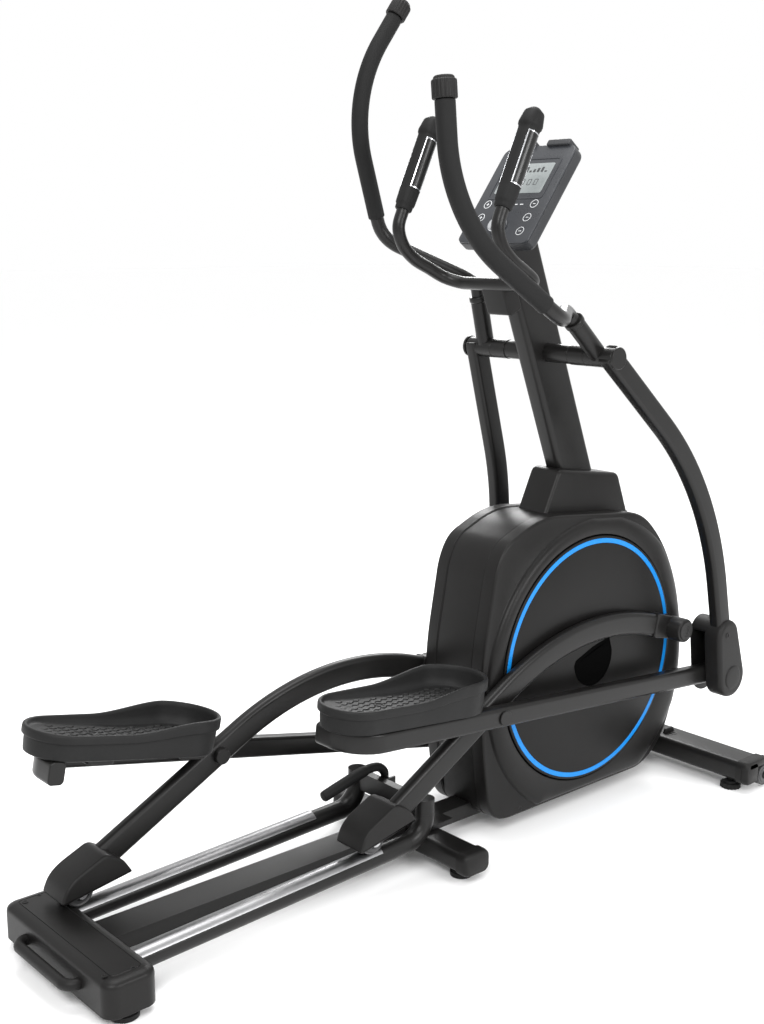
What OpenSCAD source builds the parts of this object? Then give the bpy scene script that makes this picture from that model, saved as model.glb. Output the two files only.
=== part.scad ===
// Elliptical trainer with front drive and rear rails.
// Axes: +X to the front of the machine, +Y to the user's left, +Z up.
// Origin: on the floor, in the middle of the overall length and width.

/* [Overall] */
// Distance from the frame reference line to the middle of the overall length
x_mid = -7.7; // [-60:0.1:60]
// Half distance between the two rails
rail_y = 100; // [80:1:130]
// Slope of the rails, rising to the front
rail_slope = 2; // [0:0.5:5]

/* [Crank] */
// Crank axle position along the machine
crank_x = 408; // [380:1:430]
// Crank axle height
crank_z = 330; // [315:1:345]
// Crank radius
crank_r = 240; // [200:1:246]
// Tilt of the crank in the rest position
crank_tilt = 6.5; // [0:0.5:10]
// Radius of the crank cover disc
disc_r = 262; // [250:1:275]
// Width of the coloured trim ring
ring_w = 7; // [4:1:12]

/* [Swing arms] */
// Height of the swing arm axle
pivot_z = 971; // [940:1:1000]
// Swing arm axle position along the machine
pivot_x = 338; // [320:1:350]
// Swing arm length from axle to foot beam pin
arm_l = 854; // [830:1:880]
// Half distance between the swing arms
arm_y = 183; // [183:1:200]
// Bend radius of the swing arm
arm_bend_r = 680; // [600:1:720]
// Depth of the swing arm tube
arm_h = 44; // [36:1:50]
// Cross axle outside diameter
axle_d = 38; // [34:1:44]

/* [Moving handles] */
// Moving handle tube diameter
bar_d = 28; // [25:1:30]
// Foam grip diameter
foam_d = 34; // [32:1:40]
// Length of the straight lower part of the grip
grip_low = 122; // [80:1:150]
// Bend radius of the grip
grip_bend_r = 250; // [220:1:300]
// Length of the straight upper part of the grip
grip_top = 60; // [40:1:90]

/* [Foot beams] */
// Distance between the mid pivot and the swing arm pin
beam_l = 690; // [670:1:700]
// Height of the foot beam tube
beam_h = 40; // [34:1:44]
// Width of the foot beam tube
beam_w = 30; // [26:1:30]
// Length of the pedal tray
pedal_l = 372; // [330:1:390]
// Width of the pedal tray
pedal_w = 154; // [140:1:160]
// Height of the tray rim at the toe
rim_front = 52; // [40:1:60]
// Height of the tray rim at the heel
rim_rear = 20; // [15:1:30]

/* [Roller arms] */
// Roller arm length from wheel axle to crank pin
link_l = 896; // [886:1:904]
// Mid pivot position along the roller arm
pivot_a = 336; // [300:1:360]
// Mid pivot height above the line of the roller arm
pivot_b = 88; // [80:1:94]
// Height of the roller arm tube
link_h = 50; // [44:1:54]
// Roller wheel radius
wheel_r = 27; // [24:1:29]
// Roller wheel width
wheel_w = 44; // [36:1:46]

/* [Base frame] */
// Rail tube diameter
rail_d = 38; // [34:1:42]
// Length of the front stabiliser
front_l = 600; // [560:1:640]
// Length of the middle stabiliser
mid_l = 400; // [380:1:440]
// Length of the rear cover across the machine
cover_l = 360; // [340:1:400]
// Width of the mast across the machine
mast_w = 44; // [40:1:50]
// Depth of the mast along the machine
mast_h = 97; // [88:1:104]
// Lean of the mast towards the user
mast_lean = 21.2; // [20:0.1:22]

/* [Console] */
// Width of the console
console_w = 190; // [170:1:210]
// Height of the console face
console_l = 236; // [220:1:250]
// Lean of the console face
console_lean = 37; // [30:1:42]

/* [Hidden] */
$fn = 40;
// Running clearance of a pin in its bore, on the radius
run = 0.05;
// Gap of a slip fit inside one moving group, on the radius
slip = 0.15;
// Gap at an opened pivot
open_gap = 0.5;
// Wall of the moulded covers
wall = 3;
// Wall of the steel tubes
tube_t = 2.5;

// Linkage positions in the rest pose, solved from the lengths above
roll_x = -217;
rail_top = 92;
wheel_gap = 0.4;
roll_z = rail_top + wheel_gap + wheel_r;
function turn(p, a) = [p[0] * cos(a) - p[1] * sin(a), p[0] * sin(a) + p[1] * cos(a)];
function dot2(a, b) = a[0] * b[0] + a[1] * b[1];
rail_e = [cos(rail_slope), sin(rail_slope)];
roll_0 = [roll_x, roll_z];
function pin_at(s) = [crank_x + s * crank_r * cos(crank_tilt), crank_z + s * crank_r * sin(crank_tilt)];
function roller_at(pin) = let (d = pin - roll_0, k = dot2(d, rail_e), q = dot2(d, d) - k * k)
    roll_0 + (k - sqrt(link_l * link_l - q)) * rail_e;
function tilt_of(pin) = let (w = roller_at(pin)) atan2(pin[1] - w[1], pin[0] - w[0]);
function mid_at(pin) = roller_at(pin) + turn([pivot_a, pivot_b], tilt_of(pin));
function meet(a, ra, b, rb) = let (v = b - a, d = norm(v), k = (ra * ra - rb * rb + d * d) / (2 * d),
    h = sqrt(ra * ra - k * k), t = v / d) a + k * t + h * [t[1], -t[0]];
pivot = [pivot_x, pivot_z];
function q_at(pin) = meet(mid_at(pin), beam_l, pivot, arm_l);
// Rest values for the right side (s = 1) and the left side (s = -1)
function swing_of(s) = let (q = q_at(pin_at(s))) atan2(q[0] - pivot_x, pivot_z - q[1]);
function beam_of(s) = let (p = mid_at(pin_at(s)), q = q_at(pin_at(s))) atan2(q[1] - p[1], q[0] - p[0]);

// Width stations measured outwards from the middle plane
disc_y = 100;
link_y0 = 102;
link_y1 = 128;
beam_y0 = arm_y - 50;
beam_y1 = beam_y0 + beam_w;
arm_y0 = arm_y - 15;
arm_y1 = arm_y + 15;
hub_y0 = 86;
side_y0 = 52;
side_y1 = 98;

// Helpers
module side(s) {
    if (s > 0) mirror([0, 1, 0]) children();
    else children();
}
module ycyl(x, z, y0, y1, r) {
    translate([x, y0, z]) rotate([-90, 0, 0]) cylinder(h = y1 - y0, r = r);
}
module box(x0, x1, y0, y1, z0, z1) {
    translate([x0, y0, z0]) cube([x1 - x0, y1 - y0, z1 - z0]);
}
module prof(pts, y0, y1) {
    translate([0, y1, 0]) rotate([90, 0, 0]) linear_extrude(y1 - y0) polygon(pts);
}
// Bar from p to q with round section
module rod(p, q, r) {
    v = q - p;
    l = norm(v);
    translate(p) rotate([0, atan2(norm([v[0], v[1]]), v[2]), atan2(v[1], v[0])]) cylinder(h = l, r = r);
}
module ball(p, r) {
    translate(p) sphere(r);
}
// Round bar bent in the X-Z plane about a centre, from angle a0 to a1
module round_arc(c, rad, a0, a1, r) {
    translate([c[0], 0, c[1]]) rotate([90, 0, 0]) rotate([0, 0, a0])
        rotate_extrude(angle = a1 - a0, $fn = 96) translate([rad, 0]) circle(r);
}
// Outline of a bar that runs straight, round a bend about c from angle a0 to a1, then straight
function unit(a) = [cos(a), sin(a)];
function strip_side(p0, c, rad, a0, a1, p1, g) = concat([p0 + g * unit(a0)],
    [for (i = [0:24]) c + (rad + g) * unit(a0 + (a1 - a0) * i / 24)], [p1 + g * unit(a1)]);
// Closed outline round two circles and the straight lines that touch both
function loop(c0, r0, c1, r1) = let (v = c1 - c0, a = atan2(v[1], v[0]), b = acos((r0 - r1) / norm(v)))
    concat([for (i = [0:36]) c0 + r0 * unit(a + b + (360 - 2 * b) * i / 36)],
    [for (i = [0:16]) c1 + r1 * unit(a - b + 2 * b * i / 16)]);
function flip(l) = [for (i = [len(l) - 1:-1:0]) l[i]];
function strip(p0, c, rad, a0, a1, p1, h) = concat(strip_side(p0, c, rad, a0, a1, p1, h / 2),
    flip(strip_side(p0, c, rad, a0, a1, p1, -h / 2)));
module flat_bar(p, q, h, w) {
    v = q - p;
    l = norm(v);
    translate([p[0], 0, p[1]]) rotate([0, -atan2(v[1], v[0]), 0]) box(0, l, -w / 2, w / 2, -h / 2, h / 2);
}
// Stadium-shaped bar along Y
module oval_bar(x, z, y0, y1, w, h) {
    ycyl(x - (w - h) / 2, z, y0, y1, h / 2);
    ycyl(x + (w - h) / 2, z, y0, y1, h / 2);
    box(x - (w - h) / 2, x + (w - h) / 2, y0, y1, z - h / 2, z + h / 2);
}

// Base frame
pulley_r = 150;
// Belt plane: the pulley starts here, and the crank bearing ends short of it
belt_y0 = 10;
hub_y1 = belt_y0 - 3.6;
small_r = 20;
fly_x = 604;
fly_z = 200;
front_x = 748;
front_z = 46;
mid_x = -22;
mid_z = 38;
lever_side = -1;
function rail_c(x) = rail_top - 2.5 - rail_d / 2 + (x - roll_x) * tan(rail_slope);
module main_frame() {
    color("dimgray") difference() {
        union() {
            box(mid_x + 32, front_x - 41.5, -25, 25, 30, 60);
            box(mid_x - 36.8, mid_x + 60, -68, 68, 59, 68);
            box(180, 230, -25, 25, 59, 560);
            box(crank_x - 40, crank_x + 40, -25, hub_y1, 59, 250);
            ycyl(crank_x, crank_z, -40, hub_y1, 34);
            box(crank_x - 12, crank_x + 12, -25, hub_y1, 249, crank_z);
            box(229, crank_x, -25, hub_y1, crank_z - 15, crank_z + 15);
            on_mast() rounded_post(mast_h - 2 * tube_t - 1, mast_w - 2 * tube_t - 1, 9.5, -470, -260);
            box(200, 470, -18, 18, 500, 545);
            for (y = [-44, 38]) {
                box(fly_x - 50, fly_x + 20, y, y + 6, 69, fly_z + 25);
                box(fly_x - 50, fly_x - 12, y, y + 6, 40, 70);
                box(fly_x - 50, fly_x - 20, min(y, 20), max(y + 6, -20), 40, 58);
            }
        }
        ycyl(crank_x, crank_z, -41, 41, 12.5 + run);
        ycyl(fly_x, fly_z, -60, 60, 8 + slip);
        box(mid_x + 30, front_x - 60, -25 + tube_t, 25 - tube_t, 30 + tube_t, 60 - tube_t);
        box(180 + tube_t, 230 - tube_t, -25 + tube_t, 25 - tube_t, 62, 520);
        box(crank_x - 40 + tube_t, crank_x + 40 - tube_t, -25 + tube_t, hub_y1 - tube_t, 62, 250 - tube_t);
        on_mast() box(-38, 38, -14, 14, -480, -250);
    }
}
module front_stabilizer() {
    color("black") difference() {
        union() {
            oval_bar(front_x, front_z, -front_l / 2 + 30, front_l / 2 - 30, 82, 46);
            for (s = [-1, 1]) box(front_x - 12, front_x + 12, s * 55 - 3, s * 55 + 3, front_z + 15, front_z + 34);
        }
        oval_bar(front_x, front_z, -front_l / 2, front_l / 2, 82 - 2 * tube_t, 46 - 2 * tube_t);
        for (s = [-1, 1]) translate([front_x - 22, s * (front_l / 2 - 55), 10]) cylinder(h = 30, r = 5 + slip);
    }
}
module mid_stabilizer() {
    color("black") difference() {
        oval_bar(mid_x, mid_z, -mid_l / 2 + 26, mid_l / 2 - 26, 62, 40);
        oval_bar(mid_x, mid_z, -mid_l / 2, mid_l / 2, 62 - 2 * tube_t, 40 - 2 * tube_t);
    }
}
module stabilizer_caps() {
    color("darkslategray") {
        for (s = [-1, 1]) {
            difference() {
                oval_bar(front_x, front_z, min(s * (front_l / 2 - 30), s * front_l / 2) + (s > 0 ? 0.3 : 0),
                    max(s * (front_l / 2 - 30), s * front_l / 2) - (s > 0 ? 0 : 0.3), 88, 52);
                box(front_x + 5, front_x + 60, s * (front_l / 2 - 12) - 13, s * (front_l / 2 - 12) + 13, 0, 57);
            }
            side(-s) ycyl(front_x + 32, 29, front_l / 2 - 28, front_l / 2 - 3, 5 - run);
            side(-s) ycyl(front_x + 32, 29, front_l / 2 - 3.6, front_l / 2 - 1, 9);
            oval_bar(mid_x, mid_z, min(s * (mid_l / 2 - 26), s * mid_l / 2) + (s > 0 ? 0.3 : 0),
                max(s * (mid_l / 2 - 26), s * mid_l / 2) - (s > 0 ? 0 : 0.3), 68, 46);
        }
    }
}
module foot_pads() {
    color("black") for (s = [-1, 1]) {
        translate([mid_x, s * (mid_l / 2 - 49), 0]) cylinder(h = 17.7, r = 22);
        translate([-757, s * (cover_l / 2 - 30), 0]) cylinder(h = 17, r = 25);
    }
}
module foot_screw() {
    color("black") {
        translate([front_x - 22, front_l / 2 - 55, 0]) cylinder(h = 12, r = 23);
        translate([front_x - 22, front_l / 2 - 55, 12]) cylinder(h = 5, r = 15);
        translate([front_x - 22, front_l / 2 - 55, 17]) cylinder(h = 16, r = 5);
    }
}
module transport_wheel() {
    color("black") difference() {
        ycyl(front_x + 32, 29, front_l / 2 - 24, front_l / 2 - 4, 24);
        ycyl(front_x + 32, 29, front_l / 2 - 30, front_l / 2, 5 + run);
    }
}
// Rails, with their front ends bent up to the cross plate, and the wide middle beam
module rail_frame() {
    color("black") difference() {
        union() {
            for (s = [-1, 1]) translate([0, s * rail_y, 0]) {
                rod([-775, 0, rail_c(-775)], [-114, 0, rail_c(-114)], rail_d / 2);
                round_arc([-118, rail_c(-118) + 50], 50, -90 + rail_slope, 0, rail_d / 2 + 0.3);
                rod([-68, 0, rail_c(-118) + 48], [-68, 0, 152], rail_d / 2);
            }
            box(-77, -59, -rail_y, rail_y, 112, 150);
            box(-775, -75, -35, 35, 38, 66);
            box(-90, -59, -35, 35, 38, 118);
            box(-59.5, mid_x + 2, -30, 30, 69, 118);
            side(lever_side) {
                box(-62, -30, 27, 31.5, 100, 146);
                ycyl(-46, 130, 30, 50, 8);
                ycyl(-46, 130, 48.4, 52, 12);
            }
            box(-773, -735, -cover_l / 2 + 20, cover_l / 2 - 20, 26, 49.6);
        }
        for (s = [-1, 1]) translate([0, s * rail_y, 0])
            rod([-780, 0, rail_c(-780)], [-125, 0, rail_c(-125)], rail_d / 2 - tube_t);
        box(-780, -95, -35 + tube_t, 35 - tube_t, 38 + tube_t, 66 - tube_t);
    }
}
module rail_tracks() {
    color("silver") for (s = [-1, 1]) translate([0, s * rail_y, 0]) {
        difference() {
            rod([-765, 0, rail_c(-765)], [-188, 0, rail_c(-188)], rail_d / 2 + 2.5);
            rod([-780, 0, rail_c(-780)], [-170, 0, rail_c(-170)], rail_d / 2 + 0.1);
            translate([0, -40, 0]) prof([[-790, rail_c(-790) - 40], [-150, rail_c(-150) - 40],
                [-150, rail_c(-150)], [-790, rail_c(-790)]], 0, 80);
        }
    }
}
module rear_cover() {
    color("dimgray") difference() {
        union() {
            box(-802, -707, -cover_l / 2 + 24, cover_l / 2 - 24, 17, 80);
            box(-778, -731, -cover_l / 2, cover_l / 2, 17, 80);
            for (s = [-1, 1], x = [-778, -731]) translate([x, s * (cover_l / 2 - 24), 17]) cylinder(h = 63, r = 24);
        }
        box(-790, -700, -cover_l / 2 + 12, cover_l / 2 - 12, 16, 76);
        box(-803, -780, -102, 102, 16, 60);
        for (s = [-1, 1]) {
            side(s) ycyl(roller_at(pin_at(-1))[0], roller_at(pin_at(-1))[1], fork_y0 - 1, fork_y1 + 1, wheel_r + 1.5);
            translate([-742, s * (cover_l / 2 - 22), 70]) cylinder(h = 20, r = 4.2, $fn = 16);
        }
    }
}
module rear_handle() {
    color("dimgray") {
        for (s = [-1, 1]) {
            rod([-775.4, s * 90, 46], [-802, s * 90, 46], 10);
            translate([-802, s * 70, 46]) rotate([0, 0, s > 0 ? 90 : 180])
                rotate_extrude(angle = 90) translate([20, 0]) circle(10);
        }
        rod([-822, -70, 46], [-822, 70, 46], 10);
    }
}
module lock_lever() {
    color("black") side(lever_side) {
        rod([-205, 40, 146], [-112, 40, 170], 11);
        rod([-112, 40, 170], [-66, 40, 172], 11);
        ball([-112, 40, 170], 11.3);
        rod([-66, 40, 172], [-48, 40, 160], 11);
        ball([-66, 40, 172], 11.3);
        ball([-48, 40, 160], 11.3);
        rod([-48, 40, 160], [-46, 40, 141], 8);
        difference() {
            ycyl(-46, 130, 32, 48, 12.6);
            ycyl(-46, 130, 30, 50, 8 + run);
        }
    }
}

// Mast, boot and cross axle
module rounded_post(h, w, r, z0, z1) {
    box(-h / 2 + r, h / 2 - r, -w / 2, w / 2, z0, z1);
    box(-h / 2, h / 2, -w / 2 + r, w / 2 - r, z0, z1);
    for (a = [-1, 1], b = [-1, 1]) translate([a * (h / 2 - r), b * (w / 2 - r), z0])
        cylinder(h = z1 - z0, r = r);
}
module on_mast() {
    translate([pivot_x, 0, pivot_z]) rotate([0, -mast_lean, 0]) children();
}
module mast() {
    color("black") difference() {
        on_mast() difference() {
            rounded_post(mast_h, mast_w, 12, -400, 250);
            rounded_post(mast_h - 2 * tube_t, mast_w - 2 * tube_t, 10, -401, 246);
        }
        ycyl(pivot_x, pivot_z, -60, 60, axle_d / 2 + slip);
    }
}
function top_z(x) = 650 - (x - 268) * 33 / 312;
module mast_boot() {
    color("dimgray") difference() {
        prof([[315, top_z(315) + 0.4], [361, 730], [552, 701], [587, top_z(587) + 0.4]], -40, 40);
        on_mast() box(-mast_h / 2 - 1, mast_h / 2 + 1, -mast_w / 2 - 1, mast_w / 2 + 1, -450, 100);
        prof([[325, 600], [364, 724], [548, 697], [577, 600]], -36, 36);
    }
}
module cross_axle() {
    color("black") {
        difference() {
            ycyl(pivot_x, pivot_z, -hub_y0 + 0.6, hub_y0 - 0.6, axle_d / 2);
            ycyl(pivot_x, pivot_z, -hub_y0, hub_y0, 14);
        }
        ycyl(pivot_x, pivot_z, -arm_y1 - 1, arm_y1 + 1, 14);
        for (s = [-1, 1]) ycyl(pivot_x, pivot_z, s * (arm_y1 + 3.5) - 2.5, s * (arm_y1 + 3.5) + 2.5, 22);
    }
}

// Moulded housing round the drive
body_pts = [[132, 34], [104, 200], [98, 364], [135, 560], [160, 605], [268, 650], [580, 617],
    [650, 540], [700, 440], [722, 320], [712, 200], [665, 90], [600, 34]];
body_c = [410, 330];
bulge_x = 428;
bulge_z = 310;
bulge_r = 318;
screw_a = [62, 15, -32, -60, -120];
function shrink(k) = [for (p = body_pts) body_c + (p - body_c) * k];
module housing_rear() {
    color("dimgray") difference() {
        prof(body_pts, -side_y0 + 2, side_y0 - 2);
        prof(shrink(0.985), -60, 60);
        on_mast() box(-mast_h / 2 - 2, mast_h / 2 + 2, -mast_w / 2 - 2, mast_w / 2 + 2, -450, 0);
        box(60, 760, -27, 27, 20, 64);
    }
}
module housing_side() {
    difference() {
        union() {
            prof(body_pts, side_y0 - 1.7, side_y0 + 1.3);
            ycyl(bulge_x, bulge_z, side_y0 - 1.7, side_y1, bulge_r, $fn = 96);
        }
        ycyl(bulge_x, bulge_z, 40, side_y1 - wall, bulge_r - wall, $fn = 96);
        ycyl(crank_x, crank_z, 40, side_y1 + 10, disc_r + 2.5, $fn = 96);
        box(0, 900, 40, 110, -20, 34);
        for (a = screw_a) ycyl(bulge_x + 300 * cos(a), bulge_z + 300 * sin(a), 80, 110, 4.2, $fn = 16);
    }
}
module screws() {
    color("silver") {
        for (s = [-1, 1]) side(s) for (a = screw_a)
            ycyl(bulge_x + 300 * cos(a), bulge_z + 300 * sin(a), 90, side_y1 + 0.6, 4, $fn = 16);
        for (s = [-1, 1]) translate([-742, s * (cover_l / 2 - 22), 76.3]) cylinder(h = 4.2, r = 4, $fn = 16);
        for (s = [-1, 1]) translate([front_x, s * 70, front_z + 23.3]) cylinder(h = 7, r = 8, $fn = 16);
    }
}

// Console, drawn in the plane of its face
module on_console() {
    translate([187, 0, 1189]) rotate([0, console_lean, 0]) children();
}
module slab(x0, x1, hw, z0, z1, r) {
    box(x0, x1, -hw + r, hw - r, z0, z1);
    box(x0, x1, -hw, hw, z0 + r, z1 - r);
    for (b = [-1, 1], z = [z0 + r, z1 - r]) translate([x0, b * (hw - r), z]) rotate([0, 90, 0])
        cylinder(h = x1 - x0, r = r);
}
module console_case() {
    color("dimgray") on_console() difference() {
        union() {
            slab(3.8, 28, console_w / 2, 0, console_l, 16);
            slab(28, 56, console_w / 3, 24, 170, 16);
            box(-6, 28, -console_w / 2 + 20, -16, console_l, console_l + 8);
            box(-6, 28, 16, console_w / 2 - 20, console_l, console_l + 8);
        }
        slab(3, 25, console_w / 2 - 6, 6, console_l - 6, 12);
        box(12, 60, -mast_w / 2 - 2, mast_w / 2 + 2, -10, 110);
    }
}
module console_panel() {
    color("slategray") on_console() difference() {
        slab(0, 3.5, console_w / 2 - 0.5, 0.5, console_l - 0.5, 15.5);
        box(-1, 2, -62.2, 62.2, 117.8, 190.2);
        translate([-1, 0, 36]) rotate([0, 90, 0]) cylinder(h = 6, r = 6.5);
    }
}
module console_screen() {
    color("lightsteelblue") on_console() box(0.4, 1.9, -62, 62, 118, 190);
}
module console_dial() {
    color("silver") on_console() {
        translate([-14, 0, 36]) rotate([0, 90, 0]) cylinder(h = 13.6, r = 17);
        translate([-1, 0, 36]) rotate([0, 90, 0]) cylinder(h = 18, r = 6);
    }
}

// Fixed bar with the pulse grips
bar_pts = [[200, 0, 1110], [200, 96, 1110], [186, 118, 1117], [110, 132, 1158], [78, 134, 1192],
    [70, 134, 1218], [81, 134, 1251], [96, 134, 1283]];
module pulse_bar() {
    color("black") {
        for (s = [-1, 1]) side(s) {
            for (i = [0:len(bar_pts) - 2]) rod(bar_pts[i], bar_pts[i + 1], 12.5);
            for (i = [1:len(bar_pts) - 2]) ball(bar_pts[i], 12.8);
        }
    }
}
module on_grip() {
    translate([81, 134, 1251]) rotate([0, 25, 0]) children();
}
module pulse_grip() {
    color("black") on_grip() difference() {
        union() {
            cylinder(h = 176, r = 19);
            translate([0, 0, 176]) sphere(r = 19);
        }
        translate([0, 0, -1]) cylinder(h = 50, r = 12.5 + slip);
        translate([0, 0, -1]) cylinder(h = 16, r = 12.8 + slip);
    }
}
module pulse_plate_pair() {
    color("silver") on_grip() difference() {
        translate([0, 0, 42]) cylinder(h = 108, r = 20.4);
        translate([0, 0, 40]) cylinder(h = 112, r = 19 + slip);
        box(-30, 30, -7, 7, 40, 160);
    }
}
module bar_bracket() {
    color("dimgray") difference() {
        on_mast() box(-mast_h / 2 - 40, -mast_h / 2 - 0.3, -30, 30, 116, 182);
        ycyl(200, 1110, -40, 40, 12.5 + slip);
    }
}

// Swing arm and moving handle, drawn with the axle at the origin and the pin straight below
bend_a = 18.5;
arm_s = (arm_l - 2 * arm_bend_r * sin(bend_a)) / (2 * cos(bend_a));
arm_c = [arm_s * sin(bend_a) - arm_bend_r * cos(bend_a), -arm_l / 2];
module on_arm(s) {
    side(s) translate([pivot_x, 0, pivot_z]) rotate([0, -swing_of(s), 0]) children();
}
module arm_tube(h, y0, y1) {
    prof(strip([0, 0], arm_c, arm_bend_r, bend_a, -bend_a, [0, -arm_l], h), y0, y1);
}
sleeve_a = 17.3;
sleeve_y = 155;
module swing_arm() {
    color("black") difference() {
        union() {
            arm_tube(arm_h, arm_y0, arm_y1);
            ycyl(0, -arm_l, arm_y0, arm_y1, 26);
            ycyl(0, 0, hub_y0, arm_y1, axle_d / 2 + 1);
            translate([0, sleeve_y, 0]) rotate([0, -sleeve_a, 0]) cylinder(h = 108, r = 18);
            translate([0, sleeve_y, 0]) rotate([0, -sleeve_a, 0]) translate([0, 0, 100]) cylinder(h = 11, r = 20);
        }
        translate([0, sleeve_y, 0]) rotate([0, -sleeve_a, 0]) translate([0, 0, 30])
            cylinder(h = 90, r = bar_d / 2 + slip);
        ycyl(0, 0, 60, 220, 14 + run);
    }
}
grip_e = [-207, 291, 254];
grip_a0 = 24.9;
grip_a1 = 29.7;
grip_tilt = 5.5;
sleeve_top = [-111 * sin(sleeve_a), sleeve_y, 111 * cos(sleeve_a)];
bend_1 = [-140 * sin(sleeve_a), sleeve_y, 140 * cos(sleeve_a)];
bend_2 = grip_e - 46 * [-sin(grip_a0), -0.09, cos(grip_a0)];
module on_foam() {
    translate(grip_e) rotate([grip_tilt, 0, 0]) children();
}
low_end = grip_low * [-sin(grip_a0), cos(grip_a0)];
foam_c = low_end + grip_bend_r * [cos(grip_a0), sin(grip_a0)];
arc_end = foam_c + grip_bend_r * [-cos(grip_a1), sin(grip_a1)];
top_end = arc_end + grip_top * [sin(grip_a1), cos(grip_a1)];
// Round bar along the grip, solid when q is 0; the bend is swollen a little where it meets the straights
bend_swell = 0.04;
foam_gap = 0.4;
module foam_path(r, q) {
    foam_rod([0, 0], low_end, r, q);
    translate([foam_c[0], 0, foam_c[1]]) rotate([90, 0, 0]) rotate([0, 0, 180 - grip_a1])
        rotate_extrude(angle = grip_a0 + grip_a1, $fn = 96) translate([grip_bend_r, 0])
            ring(r + (q > 0 ? 5 : 1) * bend_swell, q - (q > 0 ? 5 * bend_swell : 0));
    foam_rod(top_end, arc_end, r, q);
}
module ring(r, q) {
    difference() {
        circle(r);
        if (q > 0) circle(q);
    }
}
module foam_rod(p, t, r, q) {
    v = t - p;
    translate([p[0], 0, p[1]]) rotate([0, atan2(v[0], v[1]), 0]) linear_extrude(norm(v) + 1) ring(r, q);
}
module handle_bar() {
    color("black") {
        rod([-60 * sin(sleeve_a), sleeve_y, 60 * cos(sleeve_a)], bend_1, bar_d / 2);
        ball(bend_1, bar_d / 2 + 0.3);
        rod(bend_1, bend_2, bar_d / 2);
        ball(bend_2, bar_d / 2 + 0.3);
        rod(bend_2, grip_e, bar_d / 2);
        ball(grip_e, bar_d / 2 + 0.3);
        on_foam() foam_path(bar_d / 2, 0);
    }
}
module handle_foam() {
    color("dimgray") on_foam() foam_path(foam_d / 2, bar_d / 2 + foam_gap);
}
module handle_cap() {
    color("black") on_foam() translate([top_end[0], 0, top_end[1]]) rotate([0, grip_a1, 0]) {
        translate([0, 0, 0.3]) cylinder(h = 30, r = foam_d / 2 + 4);
        translate([0, 0, 30.3]) cylinder(h = 6, r = foam_d / 2);
    }
}
cover_up = [100 * sin(bend_a), -arm_l + 100 * cos(bend_a)];
module cover_body(r0, r1, y0, y1) {
    prof(loop([0, -arm_l], r0, cover_up, r1), y0, y1);
}
module joint_cover() {
    color("dimgray") {
        difference() {
            cover_body(46, 37, arm_y0 - 1.5, arm_y1 + 8);
            cover_body(43, 34, arm_y0 - 2, arm_y1 + 5);
            translate([0, arm_y, 0]) flat_bar([0, -arm_l], [0, -arm_l] + 180 * [sin(bend_a), cos(bend_a)],
                arm_h + 1, 33);
        }
        difference() {
            cover_body(46, 37, beam_y0 - 6, arm_y0 - 1.8);
            cover_body(43, 34, beam_y0 - 3, arm_y0);
            box(-90, 8, beam_y0 - 3, arm_y0, -arm_l - 30, -arm_l + 160);
        }
    }
}

// Foot beam and pedal, drawn with the mid pivot at the origin and the swing arm pin on +X
hook_r = 60;
hook_x = -302;
beam_c = beam_y0 + beam_w / 2;
module on_beam(s) {
    p = mid_at(pin_at(s));
    side(s) translate([p[0], 0, p[1]]) rotate([0, -beam_of(s), 0]) children();
}
module beam_shape(h, w) {
    box(hook_x, beam_l - 15, beam_c - w / 2, beam_c + w / 2, -h / 2, h / 2);
    translate([hook_x, beam_c - hook_r, -h / 2]) rotate([0, 0, 90]) rotate_extrude(angle = 90, $fn = 60)
        translate([hook_r - w / 2, 0]) square([w, h]);
    box(hook_x - hook_r - w / 2, hook_x - hook_r + w / 2, beam_c - hook_r - 38, beam_c - hook_r, -h / 2, h / 2);
}
module foot_beam() {
    color("black") {
        difference() {
            union() {
                difference() {
                    beam_shape(beam_h, beam_w);
                    difference() {
                        beam_shape(beam_h - 2 * tube_t, beam_w - 2 * tube_t);
                        ycyl(0, 0, 100, 200, 18);
                        box(hook_x - 90, hook_x - 30, 40, beam_c - hook_r - 33, -30, 30);
                    }
                }
                for (x = [-300, -112]) difference() {
                    box(x, x + 50, 62, beam_y0 + 1, 8, beam_h / 2);
                    translate([x + 25, pedal_c, 0]) cylinder(h = 40, r = 3.5);
                }
                ycyl(beam_l, 0, beam_y0, beam_y1, 22);
            }
            ycyl(0, 0, 100, 200, 10 + run);
        }
        ycyl(beam_l, 0, beam_y1 - 1, arm_y0 - open_gap, 12);
    }
}
pedal_f = -28;
pedal_c = rail_y + 4;
tray_z = beam_h / 2 + 0.3;
module tray_plan(g, z0, z1) {
    hw = pedal_w / 2 - g;
    rr = hw - 8;
    xf = pedal_f - pedal_w / 2;
    xr = pedal_f - pedal_l + pedal_w / 2 - 8;
    translate([xf, pedal_c, z0]) cylinder(h = z1 - z0, r = hw);
    translate([xr, pedal_c, z0]) cylinder(h = z1 - z0, r = rr);
    translate([0, pedal_c, z0]) linear_extrude(z1 - z0)
        polygon([[xf, -hw], [xf, hw], [xr, rr], [xr, -rr]]);
}
module pedal() {
    color("dimgray") difference() {
        tray_plan(0, tray_z, tray_z + 26 + rim_front);
        tray_plan(7, tray_z + 26, tray_z + 90);
        prof([[pedal_f - pedal_l - 10, tray_z + 26 + rim_rear], [pedal_f - 0.6 * pedal_l, tray_z + 26 + rim_rear],
            [pedal_f - 0.22 * pedal_l, tray_z + 27 + rim_front], [pedal_f - pedal_l - 10, tray_z + 30 + rim_front]],
            0, 250);
        difference() {
            tray_plan(5, tray_z - 1, tray_z + 19);
            for (x = [-300, -112]) box(x - 2, x + 52, 0, 250, 0, 80);
        }
        for (x = [-275, -87]) translate([x, pedal_c, tray_z - 1]) cylinder(h = 40, r = 4.5);
    }
}

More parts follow.
